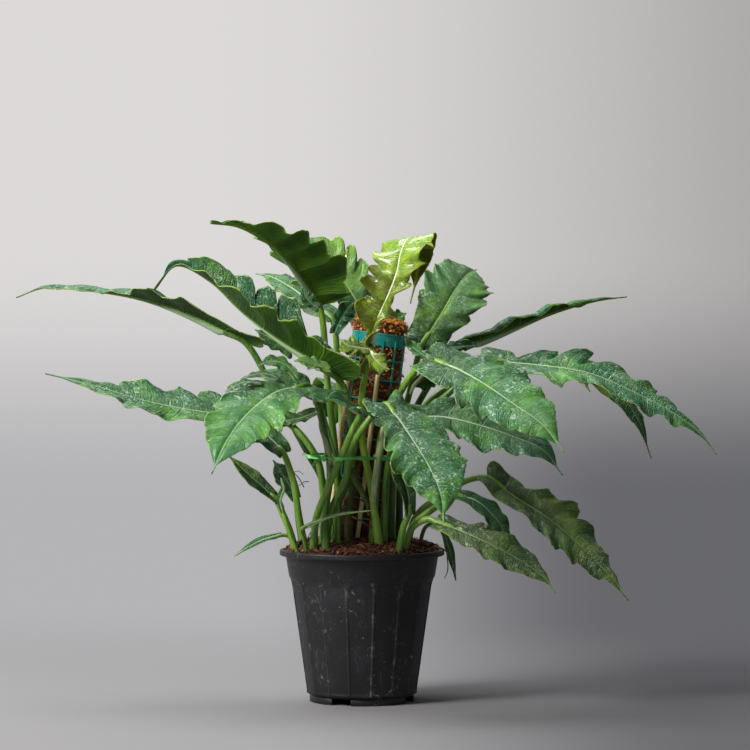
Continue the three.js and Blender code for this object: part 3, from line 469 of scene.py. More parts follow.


# Leaves, in millimetres. foot is where the stalk enters the soil, stalk the places it climbs through, rib the
# midrib from ears to tip, face the way the upper side looks. half is half the greatest width, which stands at
# broad; waist is the width at the ears, and a higher taper narrows the tip sooner. fold is the rise of each
# side in degrees, and keep the share of it left at the tip. lobes counts the lobes of a side, cut their depth
# left and right; round, thin and hook give their form, and calm evens them out towards the tip. wave and curl
# move the margin up and down, over rolls it under from a place on, quilt and pleat puff the blade up between
# veins, arch bends it down. ears and sweep slant the ears and the lobes. tone is how light the leaf is, and
# for a leaf in shadow, such as center_dark, it is a painted shade. bloom is how dusty, and that haze also
# paints a sheen of light; plain is how much of it is lost towards the tip, and kind the finish.

leafForm = {"footDepth": 166, "footRadius": 4.6, "topRadius": 3.8, "thickness": 1.0, "samples": 121,
            "lobed": 0.8, "lobeTip": 0.76, "tailStart": 0.95, "tail": 1.8, "rowStep": 1.9, "columns": 32,
            "smallColumns": 14, "smallHalf": 26, "around": 14, "stalkSteps": 70, "veinSteps": 60}
plainLeaf = {"broad": 0.4, "taper": 1.05, "waist": 0.56, "fold": 12, "keep": 0.4, "lobes": 5, "cut": (0, 0),
             "round": 0.4, "thin": 1, "hook": (1.0, 1.0), "calm": 0, "wave": 4, "curl": 1.0,
             "over": (0, 0, 0), "quilt": 1.7, "pleat": 1, "arch": 3.0, "ears": -1, "sweep": 0.45,
             "tone": 0.3, "bloom": 0.45, "plain": 0, "kind": "green"}
leaves = {
    "far_left": {
        "foot": (-46, 14), "stalk": [(-47, 12, 262), (-66, 14, 300), (-103, 16, 366)],
        "rib": [(-141, 18, 435), (-202, 24, 465), (-256, 30, 484), (-324, 38, 497), (-389, 46, 502),
                (-424.6, 52, 490)],
        "face": (0.1, 0.14, 1), "half": 40, "broad": 0.26, "fold": 26, "cut": (0.3, 0.4), "round": 0.5,
        "wave": 3, "over": (9, 0, 0.30), "ears": -1.9, "tone": 0.0, "bloom": 0.9,
    },
    "upper_left": {
        "foot": (-31, -42), "stalk": [(-31, -45, 233), (-16, -58, 274), (-11, -62, 306), (-13, -67, 343)],
        "rib": [(-24, -76, 389), (-60, -73, 415), (-101, -71, 441), (-142, -71, 472), (-181, -72, 509),
                (-221, -74, 527), (-247, -76, 498)],
        "face": (0.49, -0.59, 0.65), "half": 52, "broad": 0.26, "taper": 1.35, "fold": 83, "keep": 0.42,
        "cut": (0.3, 0.6), "round": 0.3, "calm": 0.4, "wave": 5, "quilt": 4.6, "pleat": 0.6, "tone": 0.40,
        "bloom": 0.95,
    },
    "left_low": {
        "foot": (-47, -36), "stalk": [(-47, -41, 259), (-55, -42, 298)],
        "rib": [(-91, -28, 340), (-134, -32, 345), (-188, -38, 352), (-255, -46, 365), (-325, -54, 386),
                (-378, -60, 399)],
        "face": (0, -0.5, 0.87), "half": 34, "broad": 0.34, "fold": 16, "cut": (0.3, 0.36), "tone": 0.42,
        "bloom": 0.8,
    },
    "front_left": {
        "foot": (-41, -71), "stalk": [(-44, -72, 228), (-38, -71, 276), (-42, -74, 316)],
        "rib": [(-62, -84, 384), (-97, -112, 380), (-132, -155, 355), (-157, -188, 322), (-173, -205, 286)],
        "face": (-0.3, -0.88, 0.42), "half": 49, "broad": 0.38, "waist": 0.86, "fold": 10,
        "cut": (0.3, 0.62), "round": 0.0, "thin": 2.2, "hook": (0.5, 0.25), "calm": 0.7, "quilt": 1.0,
        "ears": -1.3, "tone": 0.85, "bloom": 1.0, "plain": 0.75,
    },
    "top_left": {
        "foot": (-34, -28), "stalk": [(-29, -28, 245), (-33, -28, 311), (-41, -22, 380)],
        "rib": [(-50, -10, 478), (-70, -32, 509), (-92, -56, 536), (-116, -82, 557), (-146, -108, 573),
                (-177, -132, 577)],
        "face": (0.28, 0.2, 0.94), "half": 66, "broad": 0.2, "taper": 1.4, "fold": 24, "keep": 1,
        "cut": (0.34, 0.6), "round": 0.3, "calm": 0.3, "quilt": 7.0, "pleat": 0.6, "ears": -0.2, "sweep": 0,
        "tone": 0.95, "bloom": 0.2,
    },
    "top_back": {
        "foot": (-8, 54), "stalk": [(0, 60, 326), (2, 66, 388)],
        "rib": [(5, 72, 464), (-15, 78, 498), (-35, 84, 526), (-60, 90, 550), (-90, 98, 565)],
        "face": (-0.2, -0.7, 0.7), "half": 38, "broad": 0.3, "fold": 18, "cut": (0.42, 0.3), "pleat": 0.7,
        "tone": 0.70, "bloom": 0.25, "kind": "lit",
    },
    "back_left": {
        "foot": (-34, 50), "stalk": [(-25, 54, 327), (-29, 58, 388)],
        "rib": [(-37, 62, 464), (-62, 82, 482), (-87, 104, 501), (-113, 128, 515), (-134, 150, 520)],
        "face": (-0.1, -0.6, 0.8), "half": 24, "broad": 0.3, "fold": 18, "lobes": 4, "cut": (0.4, 0.4),
        "wave": 3,
    },
    "young": {
        "foot": (24, -63), "stalk": [(11, -66, 262), (0, -64, 322), (-1, -58, 362)],
        "rib": [(4, -52, 401), (10, -56, 435), (19, -58, 465), (31, -58, 492), (41, -57, 519),
                (47, -50, 546), (57, -32, 562), (68, -10, 532), (59, 0, 482)],
        "face": (-0.6, -0.8, 0.1), "half": 40, "broad": 0.56, "taper": 1.35, "waist": 0.3, "fold": 66,
        "keep": -0.8, "lobes": 8, "cut": (0.5, 0.5), "round": 0.5, "calm": 0.8, "wave": 7, "curl": 1.4,
        "quilt": 4.5, "pleat": 0.65, "sweep": 0.1, "tone": 0.45, "bloom": 0.25, "kind": "young",
    },
    "right_back_broad": {
        "foot": (30, 48), "stalk": [(44, 52, 314), (59, 50, 376)],
        "rib": [(73, 48, 431), (95, 56, 465), (114, 72, 497), (130, 98, 518), (143, 130, 525)],
        "face": (0.1, -1, 0.3), "half": 43, "broad": 0.44, "taper": 0.8, "fold": 10, "cut": (0.26, 0.30),
        "round": 0.6, "hook": (0.1, 0.1), "quilt": 0.7, "tone": 0.6, "bloom": 0.6, "kind": "lit",
    },
    "right_upper": {
        "foot": (44, 30), "stalk": [(52, 36, 315), (78, 34, 376)],
        "rib": [(117, 30, 427), (159, 36, 442), (205, 44, 459), (249, 54, 475), (290, 64, 486),
                (326, 74, 491)],
        "face": (0, 0.3, 0.95), "half": 26, "broad": 0.26, "fold": 45, "lobes": 4, "cut": (0.3, 0.3),
        "round": 0.5, "wave": 3.4, "over": (0, 9, 0.02), "tone": 0.25, "bloom": 0.6,
    },
    "right_long": {
        "foot": (34, -8), "stalk": [(42, -10, 293), (70, -16, 344), (106, -22, 375)],
        "rib": [(142, -26, 416), (184, -32, 411), (227, -38, 407), (273, -44, 399), (321, -48, 379),
                (369, -52, 354), (404, -56, 328), (424.5, -58, 302)],
        "face": (0.15, -0.55, 0.85), "half": 42, "broad": 0.3, "fold": 16, "lobes": 6, "cut": (0.62, 0.44),
        "round": 0.0, "thin": 1.8, "hook": (0.45, 0.5), "curl": 1.5, "tone": 0.55, "bloom": 0.75,
    },
    "right_front": {
        "foot": (12, -45), "stalk": [(16, -48, 252), (24, -52, 326), (41, -58, 366), (62, -72, 400)],
        "rib": [(81, -84, 416), (109, -102, 407), (141, -124, 390), (178, -148, 365), (210, -168, 342),
                (235, -182, 310)],
        "face": (0.27, -0.86, 0.5), "half": 48, "broad": 0.34, "fold": 8, "cut": (0.34, 0.48),
        "round": 0.75, "calm": 0.6, "quilt": 1.3, "tone": 0.80, "bloom": 0.85,
    },
    "right_mid": {
        "foot": (25, -51), "stalk": [(27, -55, 229), (33, -62, 297)],
        "rib": [(51, -78, 346), (93, -80, 348), (137, -88, 339), (180, -100, 325), (214, -110, 310),
                (237, -116, 280)],
        "face": (0.25, -0.75, 0.65), "half": 37, "broad": 0.38, "cut": (0.2, 0.32), "round": 0.7,
        "calm": 0.7, "tone": 0.40, "bloom": 0.85,
    },
    "front_right": {
        "foot": (-46, -51), "stalk": [(-37, -62, 233), (-19, -80, 274), (-14, -88, 306), (5, -94, 339)],
        "rib": [(29, -100, 364), (45, -120, 345), (64, -146, 317), (80, -170, 291), (92, -191, 262),
                (95, -205, 229)],
        "face": (0.35, -0.9, 0.3), "half": 47, "broad": 0.38, "fold": 10, "cut": (0.24, 0.46), "round": 0.8,
        "calm": 0.5, "quilt": 1.3, "tone": 0.50, "bloom": 0.9,
    },
    "low_right": {
        "foot": (48, -22), "stalk": [(67, -24, 227), (99, -22, 251), (128, -20, 269)],
        "rib": [(152, -22, 272), (190, -30, 246), (226, -38, 223), (260, -46, 194), (294, -54, 159),
                (319, -60, 127)],
        "face": (0.44, -0.75, 0.5), "half": 37, "broad": 0.34, "fold": 20, "cut": (0.36, 0.3),
        "round": 0.85, "calm": -0.7, "quilt": 2.4, "tone": 0.68, "bloom": 0.8, "kind": "olive",
    },
    "small_dark": {
        "foot": (46, -42), "stalk": [(60, -46, 213), (84, -52, 235)],
        "rib": [(112, -56, 253), (136, -62, 247), (157, -68, 229), (170, -74, 208), (175, -78, 184)],
        "face": (0.4, -0.7, 0.6), "half": 17, "lobes": 3, "cut": (0.08, 0.12), "wave": 2, "tone": 0.20,
        "bloom": 0.15,
    },
    "low_right_2": {
        "foot": (46, -60), "stalk": [(60, -66, 214), (79, -74, 225)],
        "rib": [(91, -82, 222), (120, -94, 212), (154, -104, 197), (189, -108, 178), (214, -114, 160),
                (229, -118, 142)],
        "face": (0.3, -0.7, 0.65), "half": 26, "lobes": 4, "cut": (0.14, 0.18), "round": 0.9, "calm": 0.8,
        "wave": 3, "quilt": 1.2, "tone": 0.90, "bloom": 1.0, "kind": "olive",
    },
    "narrow_right": {
        "foot": (66, -4), "stalk": [(78, -4, 212)],
        "rib": [(95, -4, 215), (104, -4, 190), (110, -4, 167), (114, -4, 146)],
        "face": (0.7, -0.7, 0), "half": 7, "fold": 14, "lobes": 2, "wave": 1, "tone": 0.20,
    },
    # tone 0.10 and no dust haze paint this leaf dark: a painted shade, as it stands in the shadow of the
    # leaves above
    "center_dark": {
        "foot": (-58, -48), "stalk": [(-54, -84, 227), (-41, -98, 261), (-25, -107, 299), (-10, -116, 334)],
        "rib": [(1, -124, 357), (-14, -142, 363), (-27, -160, 370), (-40, -178, 372)],
        "face": (0, -0.6, 0.8), "half": 20, "broad": 0.35, "lobes": 3, "cut": (0.2, 0.25), "wave": 2,
        "tone": 0.10, "bloom": 0.0,
    },
    "shaded": {
        "foot": (42, -72), "stalk": [(49, -76, 214)],
        "rib": [(57, -80, 233), (55, -84, 257), (46, -88, 283), (38, -90, 310)],
        "face": (0.3, -0.95, 0.2), "half": 13, "broad": 0.5, "fold": 20, "lobes": 2, "wave": 1,
        "tone": 0.10, "bloom": 0.0, "kind": "olive",
    },
    "left_narrow": {
        "foot": (-76, -32), "stalk": [(-86, -34, 206), (-96, -36, 231)],
        "rib": [(-102, -38, 246), (-120, -44, 263), (-140, -50, 281), (-161, -56, 302)],
        "face": (0.35, -0.75, 0.5), "half": 12, "broad": 0.35, "fold": 20, "lobes": 3, "cut": (0.1, 0.1),
        "wave": 0.8, "tone": 0.35, "bloom": 0.0, "kind": "olive",
    },
    "left_small": {
        "foot": (-70, 36), "stalk": [(-78, 38, 217)],
        "rib": [(-81, 38, 245), (-91, 40, 263), (-109, 44, 290)],
        "face": (0.2, -0.9, 0.3), "half": 14, "fold": 14, "lobes": 3, "cut": (0.25, 0.3), "wave": 2,
        "bloom": 0.9,
    },
    "rolled": {
        "foot": (-70, -46), "stalk": [(-88, -52, 211)],
        "rib": [(-95, -54, 233), (-98, -56, 247), (-94, -57, 260), (-97, -58, 273)],
        "face": (-0.6, -0.8, 0), "half": 5, "fold": 50, "lobes": 2, "wave": 0, "tone": 0.15,
    },
    "crossing": {
        "foot": (-62, -54), "stalk": [(-70, -66, 206)],
        "rib": [(-71, -86, 216), (-52, -100, 225), (-20, -108, 234), (11, -112, 238)],
        "face": (0, -0.3, 0.95), "half": 5, "fold": 20, "lobes": 2, "wave": 0,
    },
    "low_left_narrow": {
        "foot": (-78, -12), "stalk": [(-88, -14, 200)],
        "rib": [(-98, -18, 203), (-120, -24, 197), (-140, -28, 187), (-154, -30, 178)],
        "face": (0, -0.5, 0.85), "half": 6, "fold": 20, "lobes": 2, "wave": 0, "tone": 0.35,
    },
    "left_under": {
        "foot": (-66, 8), "stalk": [(-77, 8, 225), (-84, 12, 267)],
        "rib": [(-96, 16, 301), (-112, 26, 318), (-135, 40, 334), (-157, 56, 342)],
        "face": (-0.2, -0.6, 0.75), "half": 20, "broad": 0.35, "lobes": 4, "cut": (0.3, 0.36), "wave": 3,
        "tone": 0.15, "bloom": 0.1,
    },
    "right_hanging": {
        "foot": (32, 66), "stalk": [(47, 74, 301), (84, 84, 362)],
        "rib": [(154, 104, 400), (209, 112, 408), (262, 116, 403), (308, 112, 380), (340, 104, 343),
                (359, 96, 290)],
        "face": (0.4, -0.6, 0.6), "half": 24, "broad": 0.45, "lobes": 4, "cut": (0.2, 0.24), "wave": 3,
        "tone": 0.25, "bloom": 0.0, "kind": "olive",
    },
    "spear": {
        "foot": (-28, -60), "stalk": [(-29, -59, 250)],
        "rib": [(-33, -54, 301), (-45, -50, 343), (-57, -46, 383)],
        "face": (-0.3, -0.9, 0.2), "half": 4, "fold": 50, "lobes": 2, "wave": 0, "tone": 0.70,
    },
    "back_centre": {
        "foot": (-18, 64), "stalk": [(-18, 74, 262), (-20, 84, 318)],
        "rib": [(-22, 96, 366), (-25, 124, 378), (-29, 154, 374), (-33, 182, 352), (-36, 205, 322)],
        "face": (0, 0.6, 0.8), "half": 40, "broad": 0.34, "fold": 14, "cut": (0.42, 0.42), "tone": 0.50,
    },
    "back_right": {
        "foot": (10, 62), "stalk": [(20, 74, 258), (30, 86, 306)],
        "rib": [(40, 98, 346), (50, 124, 352), (60, 152, 342), (68, 178, 318), (74, 200, 288)],
        "face": (0.2, 0.6, 0.8), "half": 36, "broad": 0.34, "fold": 14, "cut": (0.42, 0.42), "tone": 0.45,
    },
}
leaves = {name: {**plainLeaf, **leaf} for name, leaf in leaves.items()}


def lobe(leaf, f):
    # from one gap to the next: a hooked lobe that leans to the tip, or a round one with narrow gaps
    tip = leafForm["lobeTip"]
    rising = np.sin(math.pi / 2 * np.clip(f / tip, 0, 1)) ** 0.8
    hooked = np.where(f < tip, rising, np.cos(math.pi / 2 * np.clip((f - tip) / (1 - tip), 0, 1)) ** 0.85)
    share = leaf["round"]
    return (hooked * (1 - share) + np.sin(math.pi * f) ** 0.42 * share) ** leaf["thin"]


def chance(number):
    # the same number between 0 and 1 each time for the same lobe
    return np.abs(np.sin(number * 12.9898 + 4.1) * 43758.5453) % 1


def lobePhase(leaf, u, side, seed):
    # the lobes of the two sides stand a little out of step, and no two are alike
    sway = 0.15 * np.sin(2.4 * leaf["lobes"] * u + seed + (side < 0) * 1.7)
    shift = np.where(side < 0, 0.10, -0.06) + sway
    return u / leafForm["lobed"] * leaf["lobes"] + shift * smooth(u / 0.1)


def lobeLuck(phase, side, seed, turn):
    # a number of its own for the lobe at this phase, and for the next
    which = np.floor(phase) + turn * 7 + seed * 11 + (side < 0) * 53
    return chance(which), chance(which + 1)


def cutAndCalm(leaf, u, side):
    return np.where(side < 0, *leaf["cut"]), 1 - leaf["calm"] * smooth((u - 0.42) / 0.22)


def halfWidth(leaf, u, side, seed):
    waist, broad, lobed = leaf["waist"], leaf["broad"], leafForm["lobed"]
    belly = waist + (1 - waist) * smooth(u / broad)
    fallen = np.clip((u - broad) / (leafForm["tailStart"] - broad), 0, 1)
    taper = np.maximum(0, np.cos(math.pi / 2 * fallen)) ** leaf["taper"]
    cut, calm = cutAndCalm(leaf, u, side)
    phase = lobePhase(leaf, u, side, seed)
    f = phase - np.floor(phase)
    before, after = lobeLuck(phase, side, seed, 1)
    luck = before + (after - before) * smooth((f - 0.4) / 0.3)
    depth = cut * calm * (1 - 0.75 * u) * (0.55 + 0.90 * luck)
    own, other = lobeLuck(phase, side, seed, 2)
    tooth = 0.045 * calm * (own > 0.3) * np.exp(-((f - 0.30 - 0.2 * other) / 0.05) ** 2) * (cut > 0.1)
    beyond = smooth((u - lobed) / (1 - lobed))
    gap = np.where(u < lobed, depth * (1 - lobe(leaf, f)) - tooth, depth * (1 - beyond))
    longer = 1 + (own - 0.6) * 0.20 * calm * lobe(leaf, f) * (cut > 0.2) * (u < lobed)
    ears = 0.16 + 0.84 * np.sqrt(1 - (1 - np.clip(u / 0.055, 0, 1)) ** 2)
    frill = 1 + 0.012 * np.sin(phase * 23 + seed * 5) * (leaf["half"] > 20)
    tail = np.minimum(leafForm["tail"], 0.6 + 12 * (1 - u))
    whole = leaf["half"] * np.where(u < broad, belly, taper)
    return np.maximum(tail, whole * (1 - gap) * longer * ears * frill)


def ribLine(leaf):
    path, length = curveThrough(leaf["rib"], leafForm["samples"])
    tangents, ups = carriedFrames(path, leaf["face"], leafForm["samples"] // 2)
    return {"path": path, "tangents": tangents, "ups": ups, "length": length}


def frameAt(rib, along):
    last = len(rib["path"]) - 1
    inside = np.clip(along, 0, 1)
    place, tangent, up = [
        np.column_stack([np.interp(inside * last, np.arange(last + 1), rib[key][:, k]) for k in range(3)])
        for key in ("path", "tangents", "ups")
    ]
    tangent = unit(tangent)
    return place + tangent * ((along - inside) * rib["length"])[:, None], tangent, unit(up)


def bladeSpots(leaf, rib, u, side, seed):
    away = np.abs(side)
    reach = away * halfWidth(leaf, u, side, seed)
    cut, calm = cutAndCalm(leaf, u, side)
    phase = lobePhase(leaf, u, side, seed)
    own, _ = lobeLuck(phase, side, seed, 3)
    tip = lobe(leaf, phase - np.floor(phase)) * (u < leafForm["lobed"])
    outer = away ** 3
    sweep = leaf["ears"] + (leaf["sweep"] - leaf["ears"]) * smooth(u / 0.2)
    hook = np.where(side < 0, *leaf["hook"]) * calm * (1 - 0.8 * leaf["round"]) * (0.08 + 0.36 * own)
    hook = hook * cut * 1.6 * tip * outer
    hook = hook * smooth((u - 0.06) / 0.12)
    place, tangent, up = frameAt(rib, u + (sweep + hook) * reach * away / rib["length"])
    across = np.cross(tangent, up)
    fold = np.radians(leaf["fold"] * (1 - (1 - leaf["keep"]) * u))
    # what lifts and lowers the margin
    flatter = 1 - 0.75 * smooth((u - 0.5) / 0.3)
    ripple = leaf["wave"] * flatter * np.sin(2 * math.pi * (phase - 0.1)) * away ** 2.2
    crinkle = 0.26 * leaf["wave"] * flatter * np.sin(2 * math.pi * phase * 2.3 + seed) * away ** 5
    near, far, begin = leaf["over"]
    over = np.where(side < 0, near, far) * smooth((u - begin) / 0.12) * (1 - 0.6 * u)
    over = over * np.clip((away - 0.72) / 0.28, 0, 1) ** 1.5 * (1 + 0.45 * np.sin(2 * math.pi * phase))
    curl = leaf["wave"] * leaf["curl"] * calm * (own * 1.9 - 1.05) * tip * outer
    # what shapes the blade between the veins
    puff = min(1, leaf["half"] / 30)
    quilt = np.abs(np.sin(math.pi * (phase + 0.26))) ** 0.7 * np.sin(math.pi * leaf["pleat"] * away ** 0.8)
    quilt = leaf["quilt"] * quilt * puff * (1 - 0.5 * u)
    groove = -1.1 * np.exp(-(reach / 2.6) ** 2) * puff
    arch = -leaf["arch"] * away ** 2.4 * puff
    margin = (ripple + crinkle + curl + arch - over) * np.minimum(1, reach / 12)
    lift = reach * np.sin(fold) + margin + quilt + groove
    spots = place + across * (np.sign(side) * reach * np.cos(fold))[:, None] + up * lift[:, None]
    return spots, reach * np.sign(side), phase


def stalkCurve(leaf, rib, count):
    under = []
    for along, depth in ((0.0, 1.4), (0.1, 1.6)):
        place, _, up = frameAt(rib, np.array([along]))
        under.append((place - up * depth)[0])
    return curveThrough([(*leaf["foot"], leafForm["footDepth"])] + leaf["stalk"] + under, count)


def makeBlade(name, leaf, rib, seed, columns, rows, gather=0.4, alongSpan=(0, 1)):
    # gather draws the columns towards the midrib and the margin
    def place(x, y):
        u = (y + 1) / 2
        x = (1 - gather) * x + gather * np.sign(x) * smooth(np.abs(x))
        spots, reach, phase = bladeSpots(leaf, rib, u, x, seed)
        along = u * (alongSpan[1] - alongSpan[0]) + alongSpan[0]
        bloom = leaf["bloom"] * (1 - leaf["plain"] * smooth((u - 0.36) / 0.3))
        return spots, {"along": along, "reach": reach, "edge": np.abs(x), "phase": phase,
                       "tone": np.full(len(u), leaf["tone"]), "bloom": bloom}

    blade = toObject(name, sheetMesh(name, columns, rows, place), leafSkins[leaf["kind"]])
    blade.data.polygons.foreach_set("use_smooth", [True] * len(blade.data.polygons))
    skin = blade.modifiers.new("thickness", "SOLIDIFY")
    skin.thickness = leafForm["thickness"] * mm
    skin.offset = -1
    skin.material_offset = 1
    skin.material_offset_rim = 1
    return applyModifiers(blade)


def leafSlot(leaf):
    return "young_leaf" if leaf["kind"] == "young" else "leaf"


def stalkRadius(share):
    return leafForm["footRadius"] + (leafForm["topRadius"] - leafForm["footRadius"]) * share


def makeLeaf(name, leaf, seed):
    rib = ribLine(leaf)
    columns = leafForm["smallColumns" if leaf["half"] <= leafForm["smallHalf"] else "columns"]
    blade = makeBlade("blade", leaf, rib, seed, columns, max(24, int(rib["length"] / leafForm["rowStep"])))

    # the stalk swells at its foot and runs on as the midrib under the blade
    thick = 1 if leaf["half"] > 10 else 0.6
    stalk, _ = stalkCurve(leaf, rib, leafForm["stalkSteps"])
    shares = np.linspace(0, 1, leafForm["stalkSteps"])
    radii = stalkRadius(shares) * thick
    radii = radii * (1 + 0.28 * np.exp(-((shares - 0.05) / 0.12) ** 2))
    stations = np.linspace(0.1, 0.985, leafForm["veinSteps"])[1:]
    vein, _, veinUp = frameAt(rib, stations)
    veinRadii = (leafForm["topRadius"] * (1 - smooth((stations - 0.1) / 0.55)) + 0.45) * thick
    veinRadii = veinRadii * (1 - 0.6 * stations)
    groove = 0.8 * min(1, leaf["half"] / 30)
    path = np.vstack([stalk, vein - veinUp * (veinRadii * 0.85 + groove)[:, None]])
    marks = {"along": np.concatenate([(shares - 1) * 0.9, stations]),
             "tone": np.full(len(path), chance(seed + 3))}
    radii = np.concatenate([radii, veinRadii])
    bar = tubeMesh("stalk", path, radii, leafForm["around"], leaf["face"], marks)
    stalkBar = toObject("stalk", bar, [leafSkins[leaf["kind"]][2]])
    whole = joinObjects("leaf_" + name + "_blade", [blade, stalkBar])
    return shown(whole, leafSlot(leaf), "leaf_" + name)


for seed, (name, leaf) in enumerate(leaves.items()):
    makeLeaf(name, leaf, seed * 1.37)
print("leaves made:", len(leaves))


# Curled ears and ragged lobes around the top of the pole, and the pale sheaths between the stalks

plainEar = {**plainLeaf, "broad": 0.45, "fold": 20, "lobes": 3, "cut": (0.35, 0.35), "tone": 0.5,
            "bloom": 0.3}
earGrid = {"columns": 16, "rows": 40, "alongSpan": (0.3, 0.8)}
ears = {
    "ear_curled": {
        "rib": [(84, -88, 412), (68, -84, 424), (56, -80, 434), (52, -88, 440)], "face": (-0.3, -0.8, 0.5),
        "half": 9, "fold": 50, "tone": 1.3, "bloom": 1.4,
    },
    "ear_upper": {
        "rib": [(138, 16, 431), (112, 12, 429), (90, 10, 427), (74, 8, 424)], "face": (0, -0.7, 0.7),
        "half": 10, "wave": 6, "tone": 0.0, "bloom": 0.1,
    },
    "ear_behind": {
        "rib": [(104, 8, 404), (84, 4, 394), (70, 2, 386), (60, 2, 379)], "face": (0.1, -0.9, -0.3),
        "half": 14, "wave": 5, "tone": 0.0, "bloom": 0.0,
    },
    "ear_bright": {
        "rib": [(30, 52, 452), (40, 50, 461), (54, 48, 470)], "face": (0, -1, 0.3),
        "half": 10, "tone": 0.9,
    },
    "ear_dark": {
        "rib": [(-34, 44, 446), (-26, 42, 462), (-16, 40, 478), (-8, 40, 486)], "face": (0, -1, 0.2),
        "half": 13, "wave": 5, "tone": 0.0, "bloom": 0.0,
    },
    "ear_left": {
        "rib": [(-38, -92, 404), (-56, -96, 410), (-72, -100, 415), (-80, -100, 414)],
        "face": (0, -0.7, 0.7), "half": 11, "tone": 1.0, "kind": "lit",
    },
    "ear_hook": {
        "rib": [(-33, -35, 521), (-25, -36, 530), (-20, -36, 539), (-18, -36, 547)], "face": (0, -1, 0.2),
        "half": 5, "fold": 40, "cut": (0, 0), "tone": 0.6, "kind": "young",
    },
    # a tone beyond 1 and a dust haze paint this ear's glossy white highlight: a painted highlight
    "ear_glossy": {
        "rib": [(-52, -38, 476), (-63, -42, 484), (-69, -44, 493), (-71, -44, 501)],
        "face": (-0.3, -0.8, 0.6), "half": 9, "tone": 1.2, "bloom": 0.6,
    },
    "ear_arched": {
        "rib": [(-76, -82, 392), (-88, -80, 407), (-100, -82, 413), (-113, -86, 413), (-124, -92, 408)],
        "face": (-0.2, -0.8, 0.5), "half": 8, "fold": 4, "cut": (0.2, 0.4), "tone": 1.1, "bloom": 1.0,
    },
    "ear_thin": {
        "rib": [(-98, -100, 394), (-114, -104, 399), (-128, -110, 398), (-142, -114, 393)],
        "face": (-0.2, -0.8, 0.5), "half": 5, "fold": 4, "cut": (0.2, 0.4), "tone": 0.85, "bloom": 1.1,
    },
    "ear_pointed": {
        "rib": [(-118, -112, 388), (-134, -118, 390), (-148, -124, 386), (-160, -130, 378)],
        "face": (-0.2, -0.8, 0.5), "half": 5, "fold": 4, "cut": (0.2, 0.4), "tone": 0.85, "bloom": 1.1,
    },
    "ear_low": {
        "rib": [(-56, -30, 351), (-72, -31, 345), (-92, -32, 341), (-112, -33, 340)],
        "face": (0, -0.8, 0.5), "half": 10, "bloom": 0.1, "kind": "olive",
    },
    "ear_far": {
        "rib": [(-85, 10, 421), (-105, 11, 436), (-130, 12, 450)], "face": (0.1, -0.9, -0.2),
        "half": 13, "wave": 6, "tone": 0.1, "bloom": 0.5,
    },
    "ear_young_right": {
        "rib": [(8, -66, 428), (14, -72, 418), (23, -76, 409), (33, -74, 403)], "face": (-0.2, -0.9, 0.4),
        "half": 12, "fold": 8, "tone": 0.75, "kind": "young",
    },
    "ear_young_left": {
        "rib": [(8, -66, 428), (-6, -72, 430), (-18, -76, 433), (-26, -74, 440)], "face": (0.1, -0.9, 0.4),
        "half": 13, "fold": 10, "wave": 5, "tone": 0.35, "kind": "young",
    },
}


def makeEar(name, ear, seed):
    ear = {**plainEar, **ear}
    shown(makeBlade(name, ear, ribLine(ear), seed, gather=0, **earGrid), leafSlot(ear))


for seed, (name, ear) in enumerate(ears.items()):
    makeEar(name, ear, 40 + seed * 1.7)


def sheathSkin():
    material, wire = newMaterial("paleSheath")
    spots = wire.spots()
    streak = wire.grain(wire.moved(spots, (1, 1, 0.05)), 420.0, 3.0)
    patch = wire.grain(wire.moved(spots, (1, 1, 0.4)), 40.0, 3.0)
    shade = (streak * 0.9 + patch * 0.5 - 0.25).rise(0.1, 0.8)
    finishMaterial(wire, shade.blend((0.115, 0.190, 0.035), (0.52, 0.58, 0.30)), 0.42, streak, 0.5, 0.0006)
    return material


sheaths = {  # the radius of each, and the places it runs through
    "sheath_broad": (4.0, [(30, -70, 350), (26, -76, 330), (20, -80, 300), (15, -76, 264), (13, -66, 240)]),
    "sheath_knot": (2.8, [(-50, -73, 340), (-46, -77, 326), (-41.5, -78, 313), (-38, -77, 300),
                          (-37, -72, 284)]),
    "sheath_low": (3.0, [(-32, -68, 290), (-36, -72, 272), (-42, -74, 252), (-47, -72, 232),
                         (-49, -66, 210)]),
    "sheath_right": (2.2, [(58, -8, 372), (64, -6, 384), (74, -4, 394), (84, -2, 400)]),
}
sheathForm = {"steps": 50, "around": 20, "flat": 0.55}
sheathPaint = sheathSkin()
for name, (radius, points) in sheaths.items():
    path, _ = curveThrough(points, sheathForm["steps"])
    ends = np.sqrt(np.clip(1 - (2 * np.linspace(0.02, 0.98, sheathForm["steps"]) - 1) ** 8, 0, 1))
    bar = tubeMesh(name, path, radius * ends, sheathForm["around"], (0, -1, 0.2), flat=sheathForm["flat"])
    shown(toObject(name, bar, [sheathPaint]), "leaf")
print("ears and sheaths made:", len(ears) + len(sheaths))


# Pot: black moulded plastic, with dust, scuffs and splashes

pot = {"height": 184, "rim": 100, "band": 7, "collarTop": 93.2, "collarFoot": 152, "collarFootRadius": 88.6,
       "bodyTop": 149, "bodyTopRadius": 86, "bodyFoot": 10, "bodyFootRadius": 66.3, "bodySteps": 46,
       "foot": 63.5, "footWidth": 4.5, "groove": 1.2, "wall": 2, "floor": 12, "floorThick": 3, "panels": 16,
       "ribHeight": 0.8, "firstRib": 10.2, "stepsPerPanel": 36, "archDrop": 7.5, "slots": 4, "slotHeight": 8,
       "slotPanel": 2.5, "slotDepth": 12, "swayFrom": 150, "swaySpan": 34,
       "black": (0.0060, 0.0064, 0.0076), "worn": (0.021, 0.0225, 0.027), "dust": (0.30, 0.285, 0.26)}


